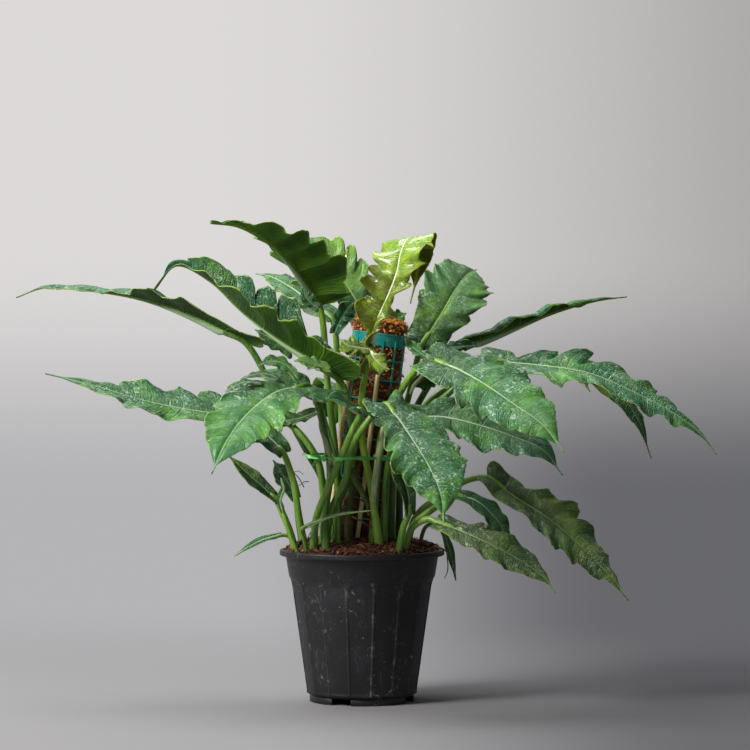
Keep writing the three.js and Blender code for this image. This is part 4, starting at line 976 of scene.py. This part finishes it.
def potSkin():
    material, wire = newMaterial("blackPotPlastic")
    spots = wire.spots()
    ridge = wire.mark("ridge")
    cloud = wire.grain(spots, 14.0, 5.0, 0.62)
    smear = wire.grain(wire.moved(spots, (1, 1, 0.22), (0, 0.35, 0)), 44.0, 5.0, 0.65)
    colour = (cloud.rise(0.42, 0.72) * 0.50 + smear.rise(0.52, 0.78) * 0.45).blend(pot["black"], pot["worn"])
    # the rib edges are painted a paler grey: rubbed wear and a painted highlight on the thin ribs
    colour = (ridge * wire.grain(spots, 30.0, 3.0).rise(0.36, 0.60) * 0.55).blend(colour, pot["worn"])
    specks = (1 - wire.cells(spots, 120.0).rise(0.05, 0.12)) * wire.grain(spots, 18.0, 2.0).rise(0.48, 0.62)
    fine = (1 - wire.cells(spots, 420.0).rise(0.08, 0.18)) * wire.grain(spots, 52.0, 2.0).rise(0.50, 0.64)
    clusters = wire.grain(spots, 15.0, 2.0).rise(0.47, 0.60)
    scratch = abs(wire.grain(wire.moved(spots, (1, 1, 0.6), (0.4, 0.7, 0.2)), 62.0, 1.0) - 0.5)
    scratch = (1 - scratch.rise(0.002, 0.011)) * wire.grain(spots, 84.0, 2.0).rise(0.52, 0.60) * clusters
    smudge = wire.grain(spots, 74.0, 5.0, 0.75).rise(0.58, 0.74) * clusters
    rubbedWearAndHighlight = ridge * wire.grain(spots, 47.0, 3.0, 0.7).rise(0.54, 0.66)
    dust = (specks * 0.85).larger(fine * 0.66).larger(scratch * 0.60)
    dust = dust.larger(smudge * 0.34).larger(rubbedWearAndHighlight * 0.36)
    height = wire.grain(spots, 900.0, 2.0) * 0.3 + cloud * 0.4
    rough = 0.36 + cloud * 0.30 + dust * 0.25
    finishMaterial(wire, dust.blend(colour, pot["dust"]), rough, height, 0.12, 0.0006)
    return material


def bodyRadius(share):
    return pot["bodyFootRadius"] + (pot["bodyTopRadius"] - pot["bodyFootRadius"]) * share


def potOutline():
    # radius and height, from inside the foot ring up the outside, over the rim and down to the floor
    foot, top, rim, wall = pot["foot"], pot["height"], pot["rim"], pot["wall"]
    inside, groove, low = foot - pot["footWidth"], foot - pot["groove"], top - pot["band"]
    outline = [(inside, pot["floor"] - pot["floorThick"]), (inside, 0.6), (inside + 0.6, 0), (foot - 0.6, 0),
               (foot, 0.6), (foot, pot["bodyFoot"] - 2.4), (groove, pot["bodyFoot"] - 1.2),
               (groove, pot["bodyFoot"] - 0.4), (pot["bodyFootRadius"], pot["bodyFoot"] + 0.6)]
    for step in range(1, pot["bodySteps"]):
        share = step / pot["bodySteps"]
        share = share ** 0.72 if share > 0.5 else share
        outline.append((bodyRadius(share), pot["bodyFoot"] + (pot["bodyTop"] - pot["bodyFoot"]) * share))
    collarFoot, collarRadius, collarTop = pot["collarFoot"], pot["collarFootRadius"], pot["collarTop"]
    return outline + [
        (pot["bodyTopRadius"] + 0.2, pot["bodyTop"]), (collarRadius - 0.5, collarFoot - 0.9),
        (collarRadius, collarFoot), (collarTop - 0.8, low - 1.5), (collarTop + 0.3, low - 0.4),
        (rim - 1.4, low), (rim - 0.4, low + 0.5), (rim, low + 1.6), (rim - 0.5, low + 3.4),
        (rim - 0.1, low + 4.6), (rim - 0.3, top - 0.9), (rim - 1.3, top), (rim - 4.2, top),
        (rim - 5.2, top - 1.0), (collarTop - wall, low), (pot["bodyTopRadius"] - wall - 2, pot["bodyTop"]),
        (pot["bodyFootRadius"] - wall, pot["floor"]), (0, pot["floor"])]


def raiseRibs(shell):
    # flat panels with arched tops between thin ribs, and a mark along a rib's edges, painted paler for rubbed
    # wear and a painted highlight
    ridges = shell.verts.layers.float.new("ridge")
    period = 360 / pot["panels"]
    for vert in shell.verts:
        z = vert.co.z / mm
        radius = math.hypot(vert.co.x, vert.co.y) / mm
        outer = bodyRadius((z - pot["bodyFoot"]) / (pot["bodyTop"] - pot["bodyFoot"]))
        if not (pot["bodyFoot"] < z < pot["bodyTop"] + 0.1) or abs(radius - outer) > 0.6:
            continue
        turn = (math.degrees(math.atan2(vert.co.y, vert.co.x)) + 90 - pot["firstRib"]) % period
        middle = abs(turn - period / 2) / (period / 2)
        away = (1 - middle) * period / 2 * math.radians(1) * radius
        arch = pot["bodyTop"] - 1.5 - pot["archDrop"] * middle ** 3
        panel = float(smooth((away - 0.6) / 0.9)) * float(smooth((arch - z) / 2.0))
        panel = panel * float(smooth((z - pot["bodyFoot"] - 1.5) / 1.5))
        flat = math.cos(math.radians(period / 2)) / math.cos(math.radians(turn - period / 2))
        grown = (radius + pot["ribHeight"]) * (1 - panel) + (radius * (0.5 + 0.5 * flat)) * panel
        vert.co.x *= grown / radius
        vert.co.y *= grown / radius
        vert[ridges] = float(smooth(1 - abs(away - 1.4) / 1.6)) * 0.9 + 0.1 * (1 - panel)


def swayRim(shell):
    # the rim of a soft pot is never quite level
    for vert in shell.verts:
        angle = math.atan2(vert.co.y, vert.co.x)
        sway = 0.5 * math.sin(3 * angle + 0.6) + 0.3 * math.sin(7 * angle)
        vert.co.z -= max(0, (vert.co.z / mm - pot["swayFrom"]) / pot["swaySpan"]) * max(0, sway) * mm


def slotCutter(number):
    cut = bmesh.new()
    period = 360 / pot["panels"]
    width = 2 * pot["foot"] * math.sin(math.radians(period / 2))
    size = Matrix.Diagonal((pot["slotDepth"] * mm, width * mm, (pot["slotHeight"] + 4) * mm, 1))
    bmesh.ops.create_cube(cut, size=1, matrix=size)
    place = ((pot["foot"] - 1) * mm, 0, (pot["slotHeight"] / 2 - 2) * mm)
    bmesh.ops.translate(cut, vec=place, verts=cut.verts)
    angle = pot["firstRib"] + pot["slotPanel"] * period - 90 + number * 360 / pot["slots"]
    turn = Matrix.Rotation(math.radians(angle), 3, "Z")
    bmesh.ops.rotate(cut, cent=(0, 0, 0), matrix=turn, verts=cut.verts)
    return toObject("slot", toMesh("slot", cut), [])


def makePot():
    shell = bmesh.new()
    ring = [shell.verts.new((radius * mm, 0, z * mm)) for radius, z in potOutline()]
    centre = shell.verts.new((0, 0, (pot["floor"] - pot["floorThick"]) * mm))
    edges = [shell.edges.new(pair) for pair in zip([centre] + ring, ring)]
    bmesh.ops.spin(shell, geom=[centre] + ring + edges, axis=(0, 0, 1), cent=(0, 0, 0), angle=2 * math.pi,
                   steps=pot["panels"] * pot["stepsPerPanel"], use_merge=True)
    bmesh.ops.remove_doubles(shell, verts=shell.verts, dist=1e-6)
    raiseRibs(shell)
    swayRim(shell)
    bmesh.ops.recalc_face_normals(shell, faces=shell.faces)
    thing = toObject("pot_shell", toMesh("pot_shell", shell, smoothed=True), [potSkin()])
    cutters = [slotCutter(number) for number in range(pot["slots"])]
    for cutter in cutters:
        cutting = thing.modifiers.new("slot", "BOOLEAN")
        cutting.operation = "DIFFERENCE"
        cutting.object = cutter
    applyModifiers(thing)
    for cutter in cutters:
        bpy.data.objects.remove(cutter)
    return shown(thing, "pot_plastic", "pot")


makePot()
print("pot made")


# Soil and pole filling: coir chips and fibres

def coirSkin(name, colours, rough=0.85):
    material, wire = newMaterial(name)
    spots = wire.spots()
    tone = wire.mark("tone")
    streak = wire.grain(spots, 380.0, 3.0)
    colour = wire.node("ValToRGB", {"stops": colours}, {0: tone * 0.75 + streak * 0.35 - 0.05})
    height = streak + wire.grain(spots, 1200.0, 2.0) * 0.5
    finishMaterial(wire, colour, rough - tone * 0.18, height, 0.6, 0.0006)
    return material


soilColours = [(0.0, (0.010, 0.004, 0.003)), (0.35, (0.062, 0.019, 0.009)), (0.62, (0.165, 0.052, 0.022)),
               (0.85, (0.290, 0.110, 0.046)), (1.0, (0.520, 0.300, 0.140))]
poleColours = [(0.0, (0.018, 0.006, 0.002)), (0.26, (0.130, 0.036, 0.006)), (0.50, (0.520, 0.170, 0.020)),
               (0.74, (0.860, 0.370, 0.050)), (1.0, (0.900, 0.600, 0.220))]


def crumbShapes(kind, count):
    # a few chips or fibres about one unit long, to be scattered turned and scaled
    shapes = []
    for i in range(count):
        crumb = bmesh.new()
        if kind == "chip":
            bmesh.ops.create_cube(crumb, size=1)
            for vert in crumb.verts:
                vert.co += Vector([random.uniform(-0.22, 0.22) for _ in range(3)])
        else:
            bmesh.ops.create_cone(crumb, cap_ends=True, segments=3, radius1=0.5, radius2=0.5, depth=1)
            sides = [e for e in crumb.edges if abs(e.verts[0].co.z - e.verts[1].co.z) > 0.5]
            bmesh.ops.subdivide_edges(crumb, edges=sides, cuts=3, use_grid_fill=False)
            bend = random.uniform(0.5, 7.0)
            for vert in crumb.verts:
                vert.co.x += bend * 1.6 * math.sin(math.pi * (vert.co.z + 0.5))
                vert.co.xy *= 1 - 0.5 * abs(vert.co.z)
        crumb.verts.layers.float.new("tone")
        shapes.append(toMesh(kind, crumb))
    return shapes


def strew(heap, lay, chips, fibres, shapeCount):
    # lay(chip) gives the matrix and the tone of one chip or fibre
    laid = [lay(i < chips) for i in range(chips + fibres)]
    for kind, part in (("chip", laid[:chips]), ("fibre", laid[chips:])):
        shapes = crumbShapes(kind, shapeCount)
        for i, (matrix, tone) in enumerate(part):
            shape = shapes[i % shapeCount]
            shape.attributes["tone"].data.foreach_set("value", [tone] * len(shape.vertices))
            shape.transform(matrix)
            heap.from_mesh(shape)
            shape.transform(matrix.inverted())


def layMatrix(spot, normal, size, tilt):
    # a shape of this length, width and thickness laid on a surface, any way round, tipped by up to tilt
    length, width, thick = [side * mm for side in size]
    turn = Matrix.Rotation(random.uniform(0, 2 * math.pi), 4, "Z")
    tip = Matrix.Rotation(random.uniform(-tilt, tilt), 4, "X")
    tip = tip @ Matrix.Rotation(random.uniform(-tilt, tilt), 4, "Y")
    stand = Vector(normal).to_track_quat("Z", "Y").to_matrix().to_4x4()
    lie = Matrix.Rotation(math.radians(90), 4, "Y")
    place = Matrix.Translation([step * mm for step in spot])
    return place @ stand @ turn @ tip @ lie @ Matrix.Diagonal((thick, width, length, 1))


soil = {"radius": 92.5, "chips": 3700, "fibres": 3800, "shapes": 24, "rings": 46, "spokes": 150, "tilt": 0.55,
        "wall": [(0, 12.5), (63, 12.5), (80.5, 149), (89.2, 177), (92.5, 183)], "moundFrom": 184,
        "flat": 190, "mound": ([0, 30, 52, 74, 89.5, 92.5], [197, 197, 194, 192, 186, 183])}


def soilHeight(x, y):
    top = float(np.interp(math.hypot(x, y), *soil["mound"]))
    return top + 1.6 * math.sin(x / 7.3 + 1) * math.cos(y / 6.1) + 1.2 * math.sin((x - y) / 11)


def layOnSoil(chip):
    r = soil["radius"] * math.sqrt(random.random()) * 0.985
    angle = random.uniform(0, 2 * math.pi)
    x, y = r * math.cos(angle), r * math.sin(angle)
    spot = (x, y, soilHeight(x, y) + random.uniform(-1.4, 1.6))
    if chip:
        length = random.uniform(1.8, 6.5) if random.random() < 0.9 else random.uniform(7, 12)
        size = (length, min(3.2, length * random.uniform(0.22, 0.55)), random.uniform(0.7, 1.9))
    else:
        length = random.uniform(6, 20)
        thin = random.uniform(0.28, 0.65)
        size = (length, thin, thin)
    matrix = layMatrix(spot, (x * 0.004, y * 0.004, 1), size, soil["tilt"])
    pale = random.random() < 0.05
    return matrix, random.uniform(0.85, 1.15) if pale else random.betavariate(2.2, 2.6)


def makeSoil():
    ground = bmesh.new()
    radius, rings = soil["radius"], soil["rings"]
    top = [(radius - radius * i / rings, soil["flat"]) for i in range(1, rings)]
    spinLine(ground, soil["wall"] + top + [(0, soil["flat"])], soil["spokes"])
    bmesh.ops.remove_doubles(ground, verts=ground.verts, dist=1e-6)
    tones = ground.verts.layers.float.new("tone")
    for vert in ground.verts:
        x, y = vert.co.x / mm, vert.co.y / mm
        if vert.co.z > soil["moundFrom"] * mm:
            vert.co.z = soilHeight(x, y) * mm + 1.3 * mm * noise.noise(Vector((x, y, 3)) / 5) - 1.2 * mm
        vert[tones] = 0.18 + 0.25 * noise.noise(Vector((x, y, 9)) / 4)
    bmesh.ops.recalc_face_normals(ground, faces=ground.faces)
    strew(ground, layOnSoil, soil["chips"], soil["fibres"], soil["shapes"])
    skin = coirSkin("pottingCoir", soilColours)
    return shown(toObject("coir_soil", toMesh("coir_soil", ground), [skin]), "potting_coir", "soil")


makeSoil()
print("soil made")


# Pole, mesh, stakes, stem and tie

pole = {"foot": (-13, 7, 172), "lean": 7.1, "length": 290, "radius": 31, "core": 30.0, "coreRings": 90,
        "coreSpokes": 72, "chips": 2400, "fibres": 5400, "shapes": 20, "tilt": 0.9, "meshTop": 276,
        "wall": 1.6, "band": 15, "ringFrom": 267, "ringGap": 24, "ringHeight": 1.8, "ringLast": 22,
        "ringSteps": 96, "slats": 12, "slatTurn": 0.35, "slatSize": (1.4, 2.2)}
poleStand = Matrix.Translation(Vector(pole["foot"]) * mm)
poleStand = poleStand @ Matrix.Rotation(math.radians(pole["lean"]), 4, "Y")


def layOnPole(chip):
    angle = random.uniform(0, 2 * math.pi)
    z = random.uniform(20, pole["length"] + 3)
    # the coir swells out between the rings and slats, and lies flat under the band
    between = abs(math.sin(math.pi * (pole["ringFrom"] - z) / pole["ringGap"]))
    beside = abs(math.sin(pole["slats"] / 2 * (angle - 2 * math.pi * pole["slatTurn"] / pole["slats"])))
    banded = pole["meshTop"] - pole["band"] - 1 < z < pole["meshTop"] + 2
    swell = (-2, 0) if banded else (-0.6, 2.0 + 3.2 * between * beside)
    r = pole["core"] + random.uniform(*swell)
    if random.random() < 0.14:
        r = pole["core"] * math.sqrt(random.random())
        z = pole["length"] + random.uniform(-1, 9) * (1 - (r / pole["core"]) ** 2)
    if chip:
        length = random.uniform(1.4, 4.6)
        size = (length, length * random.uniform(0.3, 0.7), random.uniform(0.6, 1.6))
    else:
        thin = random.uniform(0.30, 0.62)
        size = (random.uniform(4, 13), thin, thin)
    out = (math.cos(angle), math.sin(angle), 0.2 if r > 28 else 1.4)
    matrix = layMatrix((r * math.cos(angle), r * math.sin(angle), z), out, size, pole["tilt"])
    # the coir is painted darker low on the pole: a painted shade deep in the clump of stalks
    paintedShade = min(1.0, max(0.0, 1 - (z - 130) / 90))
    return matrix, random.betavariate(2.6, 1.9) * (1 - 0.74 * paintedShade)


def makePoleCore():
    core = bmesh.new()
    radius = pole["core"] * mm
    bmesh.ops.create_cone(core, cap_ends=True, cap_tris=False, segments=pole["coreSpokes"], radius1=radius,
                          radius2=radius, depth=pole["length"] * mm)
    sides = [e for e in core.edges if abs(e.verts[0].co.z - e.verts[1].co.z) > 0.1]
    bmesh.ops.subdivide_edges(core, edges=sides, cuts=pole["coreRings"], use_grid_fill=False)
    bmesh.ops.translate(core, vec=(0, 0, pole["length"] / 2 * mm), verts=core.verts)
    tones = core.verts.layers.float.new("tone")
    for vert in core.verts:
        swell = noise.noise(vert.co / mm / 6) * 1.4 * mm
        vert.co += Vector((vert.co.x, vert.co.y, 0)).normalized() * swell
        vert[tones] = 0.12 + 0.2 * noise.noise(vert.co / mm / 5)
    strew(core, layOnPole, pole["chips"], pole["fibres"], pole["shapes"])
    bmesh.ops.transform(core, matrix=poleStand, verts=core.verts)
    skin = coirSkin("poleCoir", poleColours)
    return shown(toObject("pole_coir", toMesh("pole_coir", core), [skin]), "pole_coir", "pole_core")


def meshPlastic():
    material, wire = newMaterial("turquoiseMesh")
    spots = wire.spots()
    cloud = wire.grain(spots, 60.0, 4.0)
    colour = cloud.rise(0.35, 0.75).blend((0.008, 0.250, 0.225), (0.034, 0.460, 0.400))
    dusty = wire.grain(spots, 160.0, 3.0).rise(0.56, 0.76)
    colour = (dusty * 0.30).blend(colour, (0.25, 0.27, 0.20))
    finishMaterial(wire, colour, 0.24 + dusty * 0.3, cloud, 0.15, 0.0008, **{"Coat Weight": 0.2})
    return material


def ringPiece(target, radius, wall, low, high):
    # a band of rectangular section with its edges rounded
    outer, edge = radius + wall, radius + wall * 0.8
    section = [(radius, low), (edge, low), (outer, low + 0.3), (outer, high - 0.3), (edge, high),
               (radius, high)]
    spinLine(target, section, pole["ringSteps"], closed=True)


def makeCage():
    cage = bmesh.new()
    top, radius = pole["meshTop"], pole["radius"]
    ringPiece(cage, radius - 0.2, pole["wall"], top - pole["band"], top)
    ringPiece(cage, radius + 1.2, 0.9, top - 1.8, top + 0.2)
    z = pole["ringFrom"] - pole["ringGap"]
    while z > pole["ringLast"]:
        ringPiece(cage, radius + 1.0, 1.3, z, z + pole["ringHeight"])
        z -= pole["ringGap"]
    thick, width = pole["slatSize"]
    for i in range(pole["slats"]):
        size = Matrix.Diagonal((thick * mm, width * mm, (top - 18) * mm, 1))
        slat = bmesh.ops.create_cube(cage, size=1, matrix=size)["verts"]
        bmesh.ops.translate(cage, vec=((radius + 1.7) * mm, 0, (top + 2) / 2 * mm), verts=slat)
        turn = Matrix.Rotation(2 * math.pi * (i + pole["slatTurn"]) / pole["slats"], 3, "Z")
        bmesh.ops.rotate(cage, cent=(0, 0, 0), matrix=turn, verts=slat)
    bmesh.ops.recalc_face_normals(cage, faces=cage.faces)
    bmesh.ops.transform(cage, matrix=poleStand, verts=cage.verts)
    thing = toObject("pole_mesh", toMesh("pole_mesh", cage), [meshPlastic()])
    return shown(thing, "mesh_plastic", "pole_cage")


def bambooSkin():
    material, wire = newMaterial("strawBamboo")
    spots = wire.spots()
    streak = wire.grain(wire.moved(spots, (1, 1, 0.03)), 700.0, 3.0)
    patch = wire.grain(spots, 22.0, 3.0)
    colour = (streak * 0.6 + patch * 0.5).rise(0.3, 0.85).blend((0.70, 0.48, 0.18), (0.95, 0.82, 0.50))
    finishMaterial(wire, colour, 0.45 + patch * 0.2, streak, 0.4, 0.0004)
    return material


stakes = {"stake_left": {"offset": (-31, -22), "length": 240},
          "stake_right": {"offset": (4, -37), "length": 226}}
caneForm = {"radius": 2.5, "steps": 90, "around": 14, "nodeGap": 88, "firstNode": 60, "nodeWidth": 1.6,
            "swell": 0.16}
bamboo = bambooSkin()


def makeStake(name, stake):
    heights = np.linspace(0, stake["length"], caneForm["steps"])
    spots = [poleStand @ (Vector((*stake["offset"], float(z))) * mm) / mm for z in heights]
    away = (heights % caneForm["nodeGap"] - caneForm["firstNode"]) / caneForm["nodeWidth"]
    nodes = 1 + caneForm["swell"] * np.exp(-away ** 2)
    mesh = tubeMesh(name + "_cane", spots, caneForm["radius"] * nodes, caneForm["around"])
    return shown(toObject(name + "_cane", mesh, [bamboo]), "bamboo", name)


def stemSkin():
    material, wire = newMaterial("climbingStem")
    spots = wire.spots()
    streak = wire.grain(wire.moved(spots, (1, 1, 0.12)), 190.0, 4.0)
    patch = wire.grain(spots, 46.0, 4.0)
    colour = (streak * 0.5 + patch * 0.6).rise(0.3, 0.9).blend((0.020, 0.050, 0.008), (0.150, 0.230, 0.050))
    colour = (wire.grain(spots, 32.0, 3.0).rise(0.46, 0.62) * 0.85).blend(colour, (0.120, 0.048, 0.026))
    finishMaterial(wire, colour, 0.46 + patch * 0.2, patch + streak * 0.4, 0.5, 0.0010)
    return material


def rootSkin():
    material, wire = newMaterial("brownRoots")
    patch = wire.grain(wire.spots(), 110.0, 3.0)
    colour = patch.rise(0.3, 0.75).blend((0.030, 0.014, 0.007), (0.230, 0.105, 0.045))
    finishMaterial(wire, colour, 0.62, patch, 0.5, 0.0006)
    return material


stem = {"path": [(-17, -35, 166), (-18, -36, 215), (-15, -37, 258), (-12, -36, 300)], "radius": 7.5,
        "steps": 110, "around": 28, "nodeGap": 21, "firstNode": 9, "nodeWidth": 1.9, "swell": 0.13}
roots = {  # the radius of each, and the places it runs through
    "node_stem": (5.2, [(-15, -58, 287), (-9, -62, 274), (-2, -63, 260), (6, -61, 245), (9, -58, 228)]),
    "root_low": (1.1, [(-17, -44, 240), (-30, -52, 232), (-46, -58, 226), (-58, -60, 214), (-66, -60, 200)]),
    "root_mid": (1.2, [(-12, -44, 226), (2, -50, 219), (16, -52, 210), (24, -56, 197)]),
    "root_back": (0.9, [(-20, -42, 262), (-30, -46, 250), (-36, -52, 232), (-34, -58, 208), (-40, -62, 196)]),
    "root_right": (0.9, [(-9, -42, 250), (4, -46, 243), (12, -50, 228), (10, -56, 210), (16, -60, 197)]),
    "tendril_one": (0.7, [(-70, -44, 262), (-78, -48, 276), (-82, -50, 279), (-76, -51, 281),
                          (-70, -50, 277)]),
    "tendril_two": (0.6, [(-64, -46, 268), (-70, -50, 268), (-76, -52, 264), (-78, -52, 270)]),
    "strand_rim": (1.0, [(86, -34, 190), (95, -37, 188), (101, -39, 184), (103, -40, 172), (103, -40, 160),
                         (99, -40, 151)]),
    "strand_rim_two": (0.8, [(88, -30, 190), (97, -33, 187), (102.5, -35, 182), (103.5, -36, 170),
                             (103, -36, 158)]),
}
rootForm = {"steps": 50, "around": 16, "wander": 1.1, "taper": 0.55}
rootPaint = rootSkin()
stemPaint = stemSkin()


def makeStem():
    path, length = curveThrough(stem["path"], stem["steps"])
    walked = np.linspace(0, length, stem["steps"])
    away = (walked % stem["nodeGap"] - stem["firstNode"]) / stem["nodeWidth"]
    bulge = 1 + stem["swell"] * np.exp(-away ** 2)
    mesh = tubeMesh("climbing_stem", path, (stem["radius"] - walked / length) * bulge, stem["around"])
    return shown(toObject("climbing_stem", mesh, [stemPaint]), "stem", "stem")


def makeRoots():
    for name, (radius, points) in roots.items():
        path, _ = curveThrough(points, rootForm["steps"])
        start = Vector((radius * 7, 0, 0))
        wander = np.array([noise.noise_vector(Vector(p) / 9 + start) for p in path]) * rootForm["wander"]
        thinner = radius * (1 - rootForm["taper"] * np.linspace(0, 1, rootForm["steps"]))
        paint = stemPaint if name == "node_stem" else rootPaint
        shown(toObject(name, tubeMesh(name, path + wander, thinner, rootForm["around"]), [paint]), "stem")


def ribbonSkin():
    material, wire = newMaterial("greenRibbon")
    crease = wire.grain(wire.moved(wire.spots(), (0.35, 1, 2.2)), 150.0, 3.0)
    colour = crease.rise(0.3, 0.75).blend((0.075, 0.450, 0.050), (0.260, 0.830, 0.200))
    finishMaterial(wire, colour, 0.30 + crease * 0.2, crease, 0.6, 0.0008, **{"Coat Weight": 0.2})
    return material


tie = {"height": 298, "width": 5, "room": 0.7, "thickness": 0.9, "flat": 0.18, "steps": 320, "knot": 4,
       "knotAway": 6.2, "tailSteps": 40, "tailWidth": (1.4, 2.4), "tailTwist": 1.2,
       "round": ["center_dark", "right_mid", "right_front", "right_long", "right_upper", "right_hanging",
                 "back_right", "back_centre", "far_left", "left_low", "front_left"],
       "tails": [[(-4, -2, 1), (-9, -6, 3), (-14, -8, 5)], [(-4, -2, -1), (-9, -7, -4), (-13, -9, -9)]]}


def stalkAt(name, height, steps=200):
    # where a leaf's stalk passes this height, and how far a level ribbon must stay from its middle
    path, _ = stalkCurve(leaves[name], ribLine(leaves[name]), steps)
    above = int(np.argmax(path[:, 2] >= height))
    run = path[above] - path[above - 1]
    share = (height - path[above - 1][2]) / run[2]
    radius = stalkRadius((above - 1 + share) / (steps - 1))
    return path[above - 1] + run * share, radius + math.hypot(run[0], run[1]) / run[2] * tie["width"] / 2


def makeKnot(spot):
    knot = bmesh.new()
    bmesh.ops.create_uvsphere(knot, u_segments=24, v_segments=16, radius=tie["knot"] * mm)
    for vert in knot.verts:
        vert.co *= 1 + 0.25 * noise.noise(vert.co / mm / 2.2)
    bmesh.ops.translate(knot, vec=Vector(spot) * mm, verts=knot.verts)
    return toObject("knot", toMesh("knot", knot, smoothed=True), [])


def makeTie():
    stalks = [stalkAt(name, tie["height"]) for name in tie["round"]]
    turns = [math.atan2(b[1] - a[1], b[0] - a[0]) - math.pi / 2
             for (a, _), (b, _) in zip(stalks, stalks[1:] + stalks[:1])]
    loop = []
    for i, (centre, reach) in enumerate(stalks):
        swing = (turns[i] - turns[i - 1]) % (2 * math.pi)
        for k in range(5):
            angle = turns[i - 1] + swing * k / 4
            out = np.array([math.cos(angle), math.sin(angle), 0])
            loop.append(centre + out * (reach + tie["room"] + tie["thickness"] / 2))
    loop, length = evenSteps(np.array(loop + [loop[0]]), tie["steps"])
    stations = np.linspace(0, length, tie["steps"])
    loop[:, 2] += 1.0 * np.sin(stations / 17)
    widths = tie["width"] / 2 * (1 - 0.42 * np.sin(stations / 13) ** 2)
    band = tubeMesh("band", loop, widths, 16, tuple(loop[0] - loop.mean(0)), flat=tie["flat"])
    knotStalk = stalks[-1][0]
    knotSpot = np.array([knotStalk[0] - tie["knotAway"], knotStalk[1] - tie["knotAway"] + 1, tie["height"]])
    pieces = [toObject("band", band, []), makeKnot(knotSpot)]
    for tail in tie["tails"]:
        path, _ = curveThrough([knotSpot + np.array(step) for step in [(0, 0, 0)] + tail], tie["tailSteps"])
        width = np.linspace(*tie["tailWidth"], tie["tailSteps"])
        end = tubeMesh("tail", path, width, 12, (0, -1, 1), flat=tie["flat"], twist=tie["tailTwist"])
        pieces.append(toObject("tail", end, []))
    ribbon = ribbonSkin()
    for piece in pieces:
        piece.data.materials.append(ribbon)
    return shown(joinObjects("ribbon_tie", pieces), "ribbon", "tie")


makePoleCore()
makeCage()
for name, stake in stakes.items():
    makeStake(name, stake)
makeStem()
makeRoots()
makeTie()
print("pole, stem and tie made")


# Stage

def makeStage():
    bend, steps = stage["curve"], stage["curveSteps"]
    profile = [(stage["front"], 0.0)]
    for i in range(steps + 1):
        angle = math.radians(90 * i / steps)
        profile.append((stage["back"] - bend + bend * math.sin(angle), bend - bend * math.cos(angle)))
    profile.append((stage["back"], stage["height"]))
    sweep = bmesh.new()
    line = [sweep.verts.new((-stage["side"], y, z)) for y, z in profile]
    edges = [sweep.edges.new(pair) for pair in zip(line, line[1:])]
    made = bmesh.ops.extrude_edge_only(sweep, edges=edges)
    grown = [v for v in made["geom"] if isinstance(v, bmesh.types.BMVert)]
    bmesh.ops.translate(sweep, vec=(2 * stage["side"], 0, 0), verts=grown)
    bmesh.ops.recalc_face_normals(sweep, faces=sweep.faces)

    # the tones follow where a point stands in the photograph's view: how far up, and how far to the side
    material, wire = newMaterial("glowingPaintedBackdrop")
    across, depth, height = [wire.node("SeparateXYZ", {}, {0: wire.spots()}, out=k) for k in range(3)]
    away = depth.larger(stage["nearest"]) - view["place"][1]
    risen = wire.maths("DIVIDE", height - view["place"][2], away)
    slid = wire.maths("DIVIDE", across - stage["middle"], away)
    floor, low, high = [slid.rise(*stage[part + "Shade"]).blend(*stage[part])
                        for part in ("floor", "low", "high")]
    # near the pot the floor takes lamp light with a painted shadow to the right; farther off the backdrop
    # takes no lamp light and glows with its lit and shaded tones, a painted light
    distant = depth.rise(*stage["glow"])
    black = (0.0, 0.0, 0.0)
    finishMaterial(wire, distant.blend(floor, black), stage["rough"], **{
        "Emission Color": distant.blend(black, risen.rise(*stage["horizon"]).blend(low, high)),
        "Emission Strength": 1.0, "Specular IOR Level": 0.0,
    })
    toObject("backdrop", toMesh("backdrop", sweep, smoothed=True), [material])


def makeLights():
    for name, spec in lights.items():
        lamp = bpy.data.lights.new(name, "AREA")
        lamp.shape = "SQUARE"
        lamp.size = spec["size"]
        lamp.energy = spec["power"]
        lamp.color = spec["colour"]
        thing = bpy.data.objects.new(name, lamp)
        thing.location = spec["place"]
        aim = Vector(lightAim) - Vector(spec["place"])
        thing.rotation_euler = aim.to_track_quat("-Z", "Y").to_euler()
        scene.collection.objects.link(thing)
    world = bpy.data.worlds.new("studio")
    world.use_nodes = True
    world.node_tree.nodes.clear()
    wire = Wire(world.node_tree)
    sky = wire.node("Background", {}, {0: (*worldLight["colour"], 1), 1: worldLight["strength"]})
    wire.node("OutputWorld", {}, {0: sky})
    scene.world = world


def makeCamera():
    lens = bpy.data.cameras.new("photographView")
    lens.sensor_width = view["film"]
    lens.lens = view["lens"]
    lens.clip_end = view["farthest"]
    thing = bpy.data.objects.new("photographView", lens)
    thing.location = view["place"]
    thing.rotation_euler = (math.radians(90 + view["pitch"]), 0, 0)
    scene.collection.objects.link(thing)
    scene.camera = thing


makeStage()
makeLights()
makeCamera()
print("stage, lights and camera made")
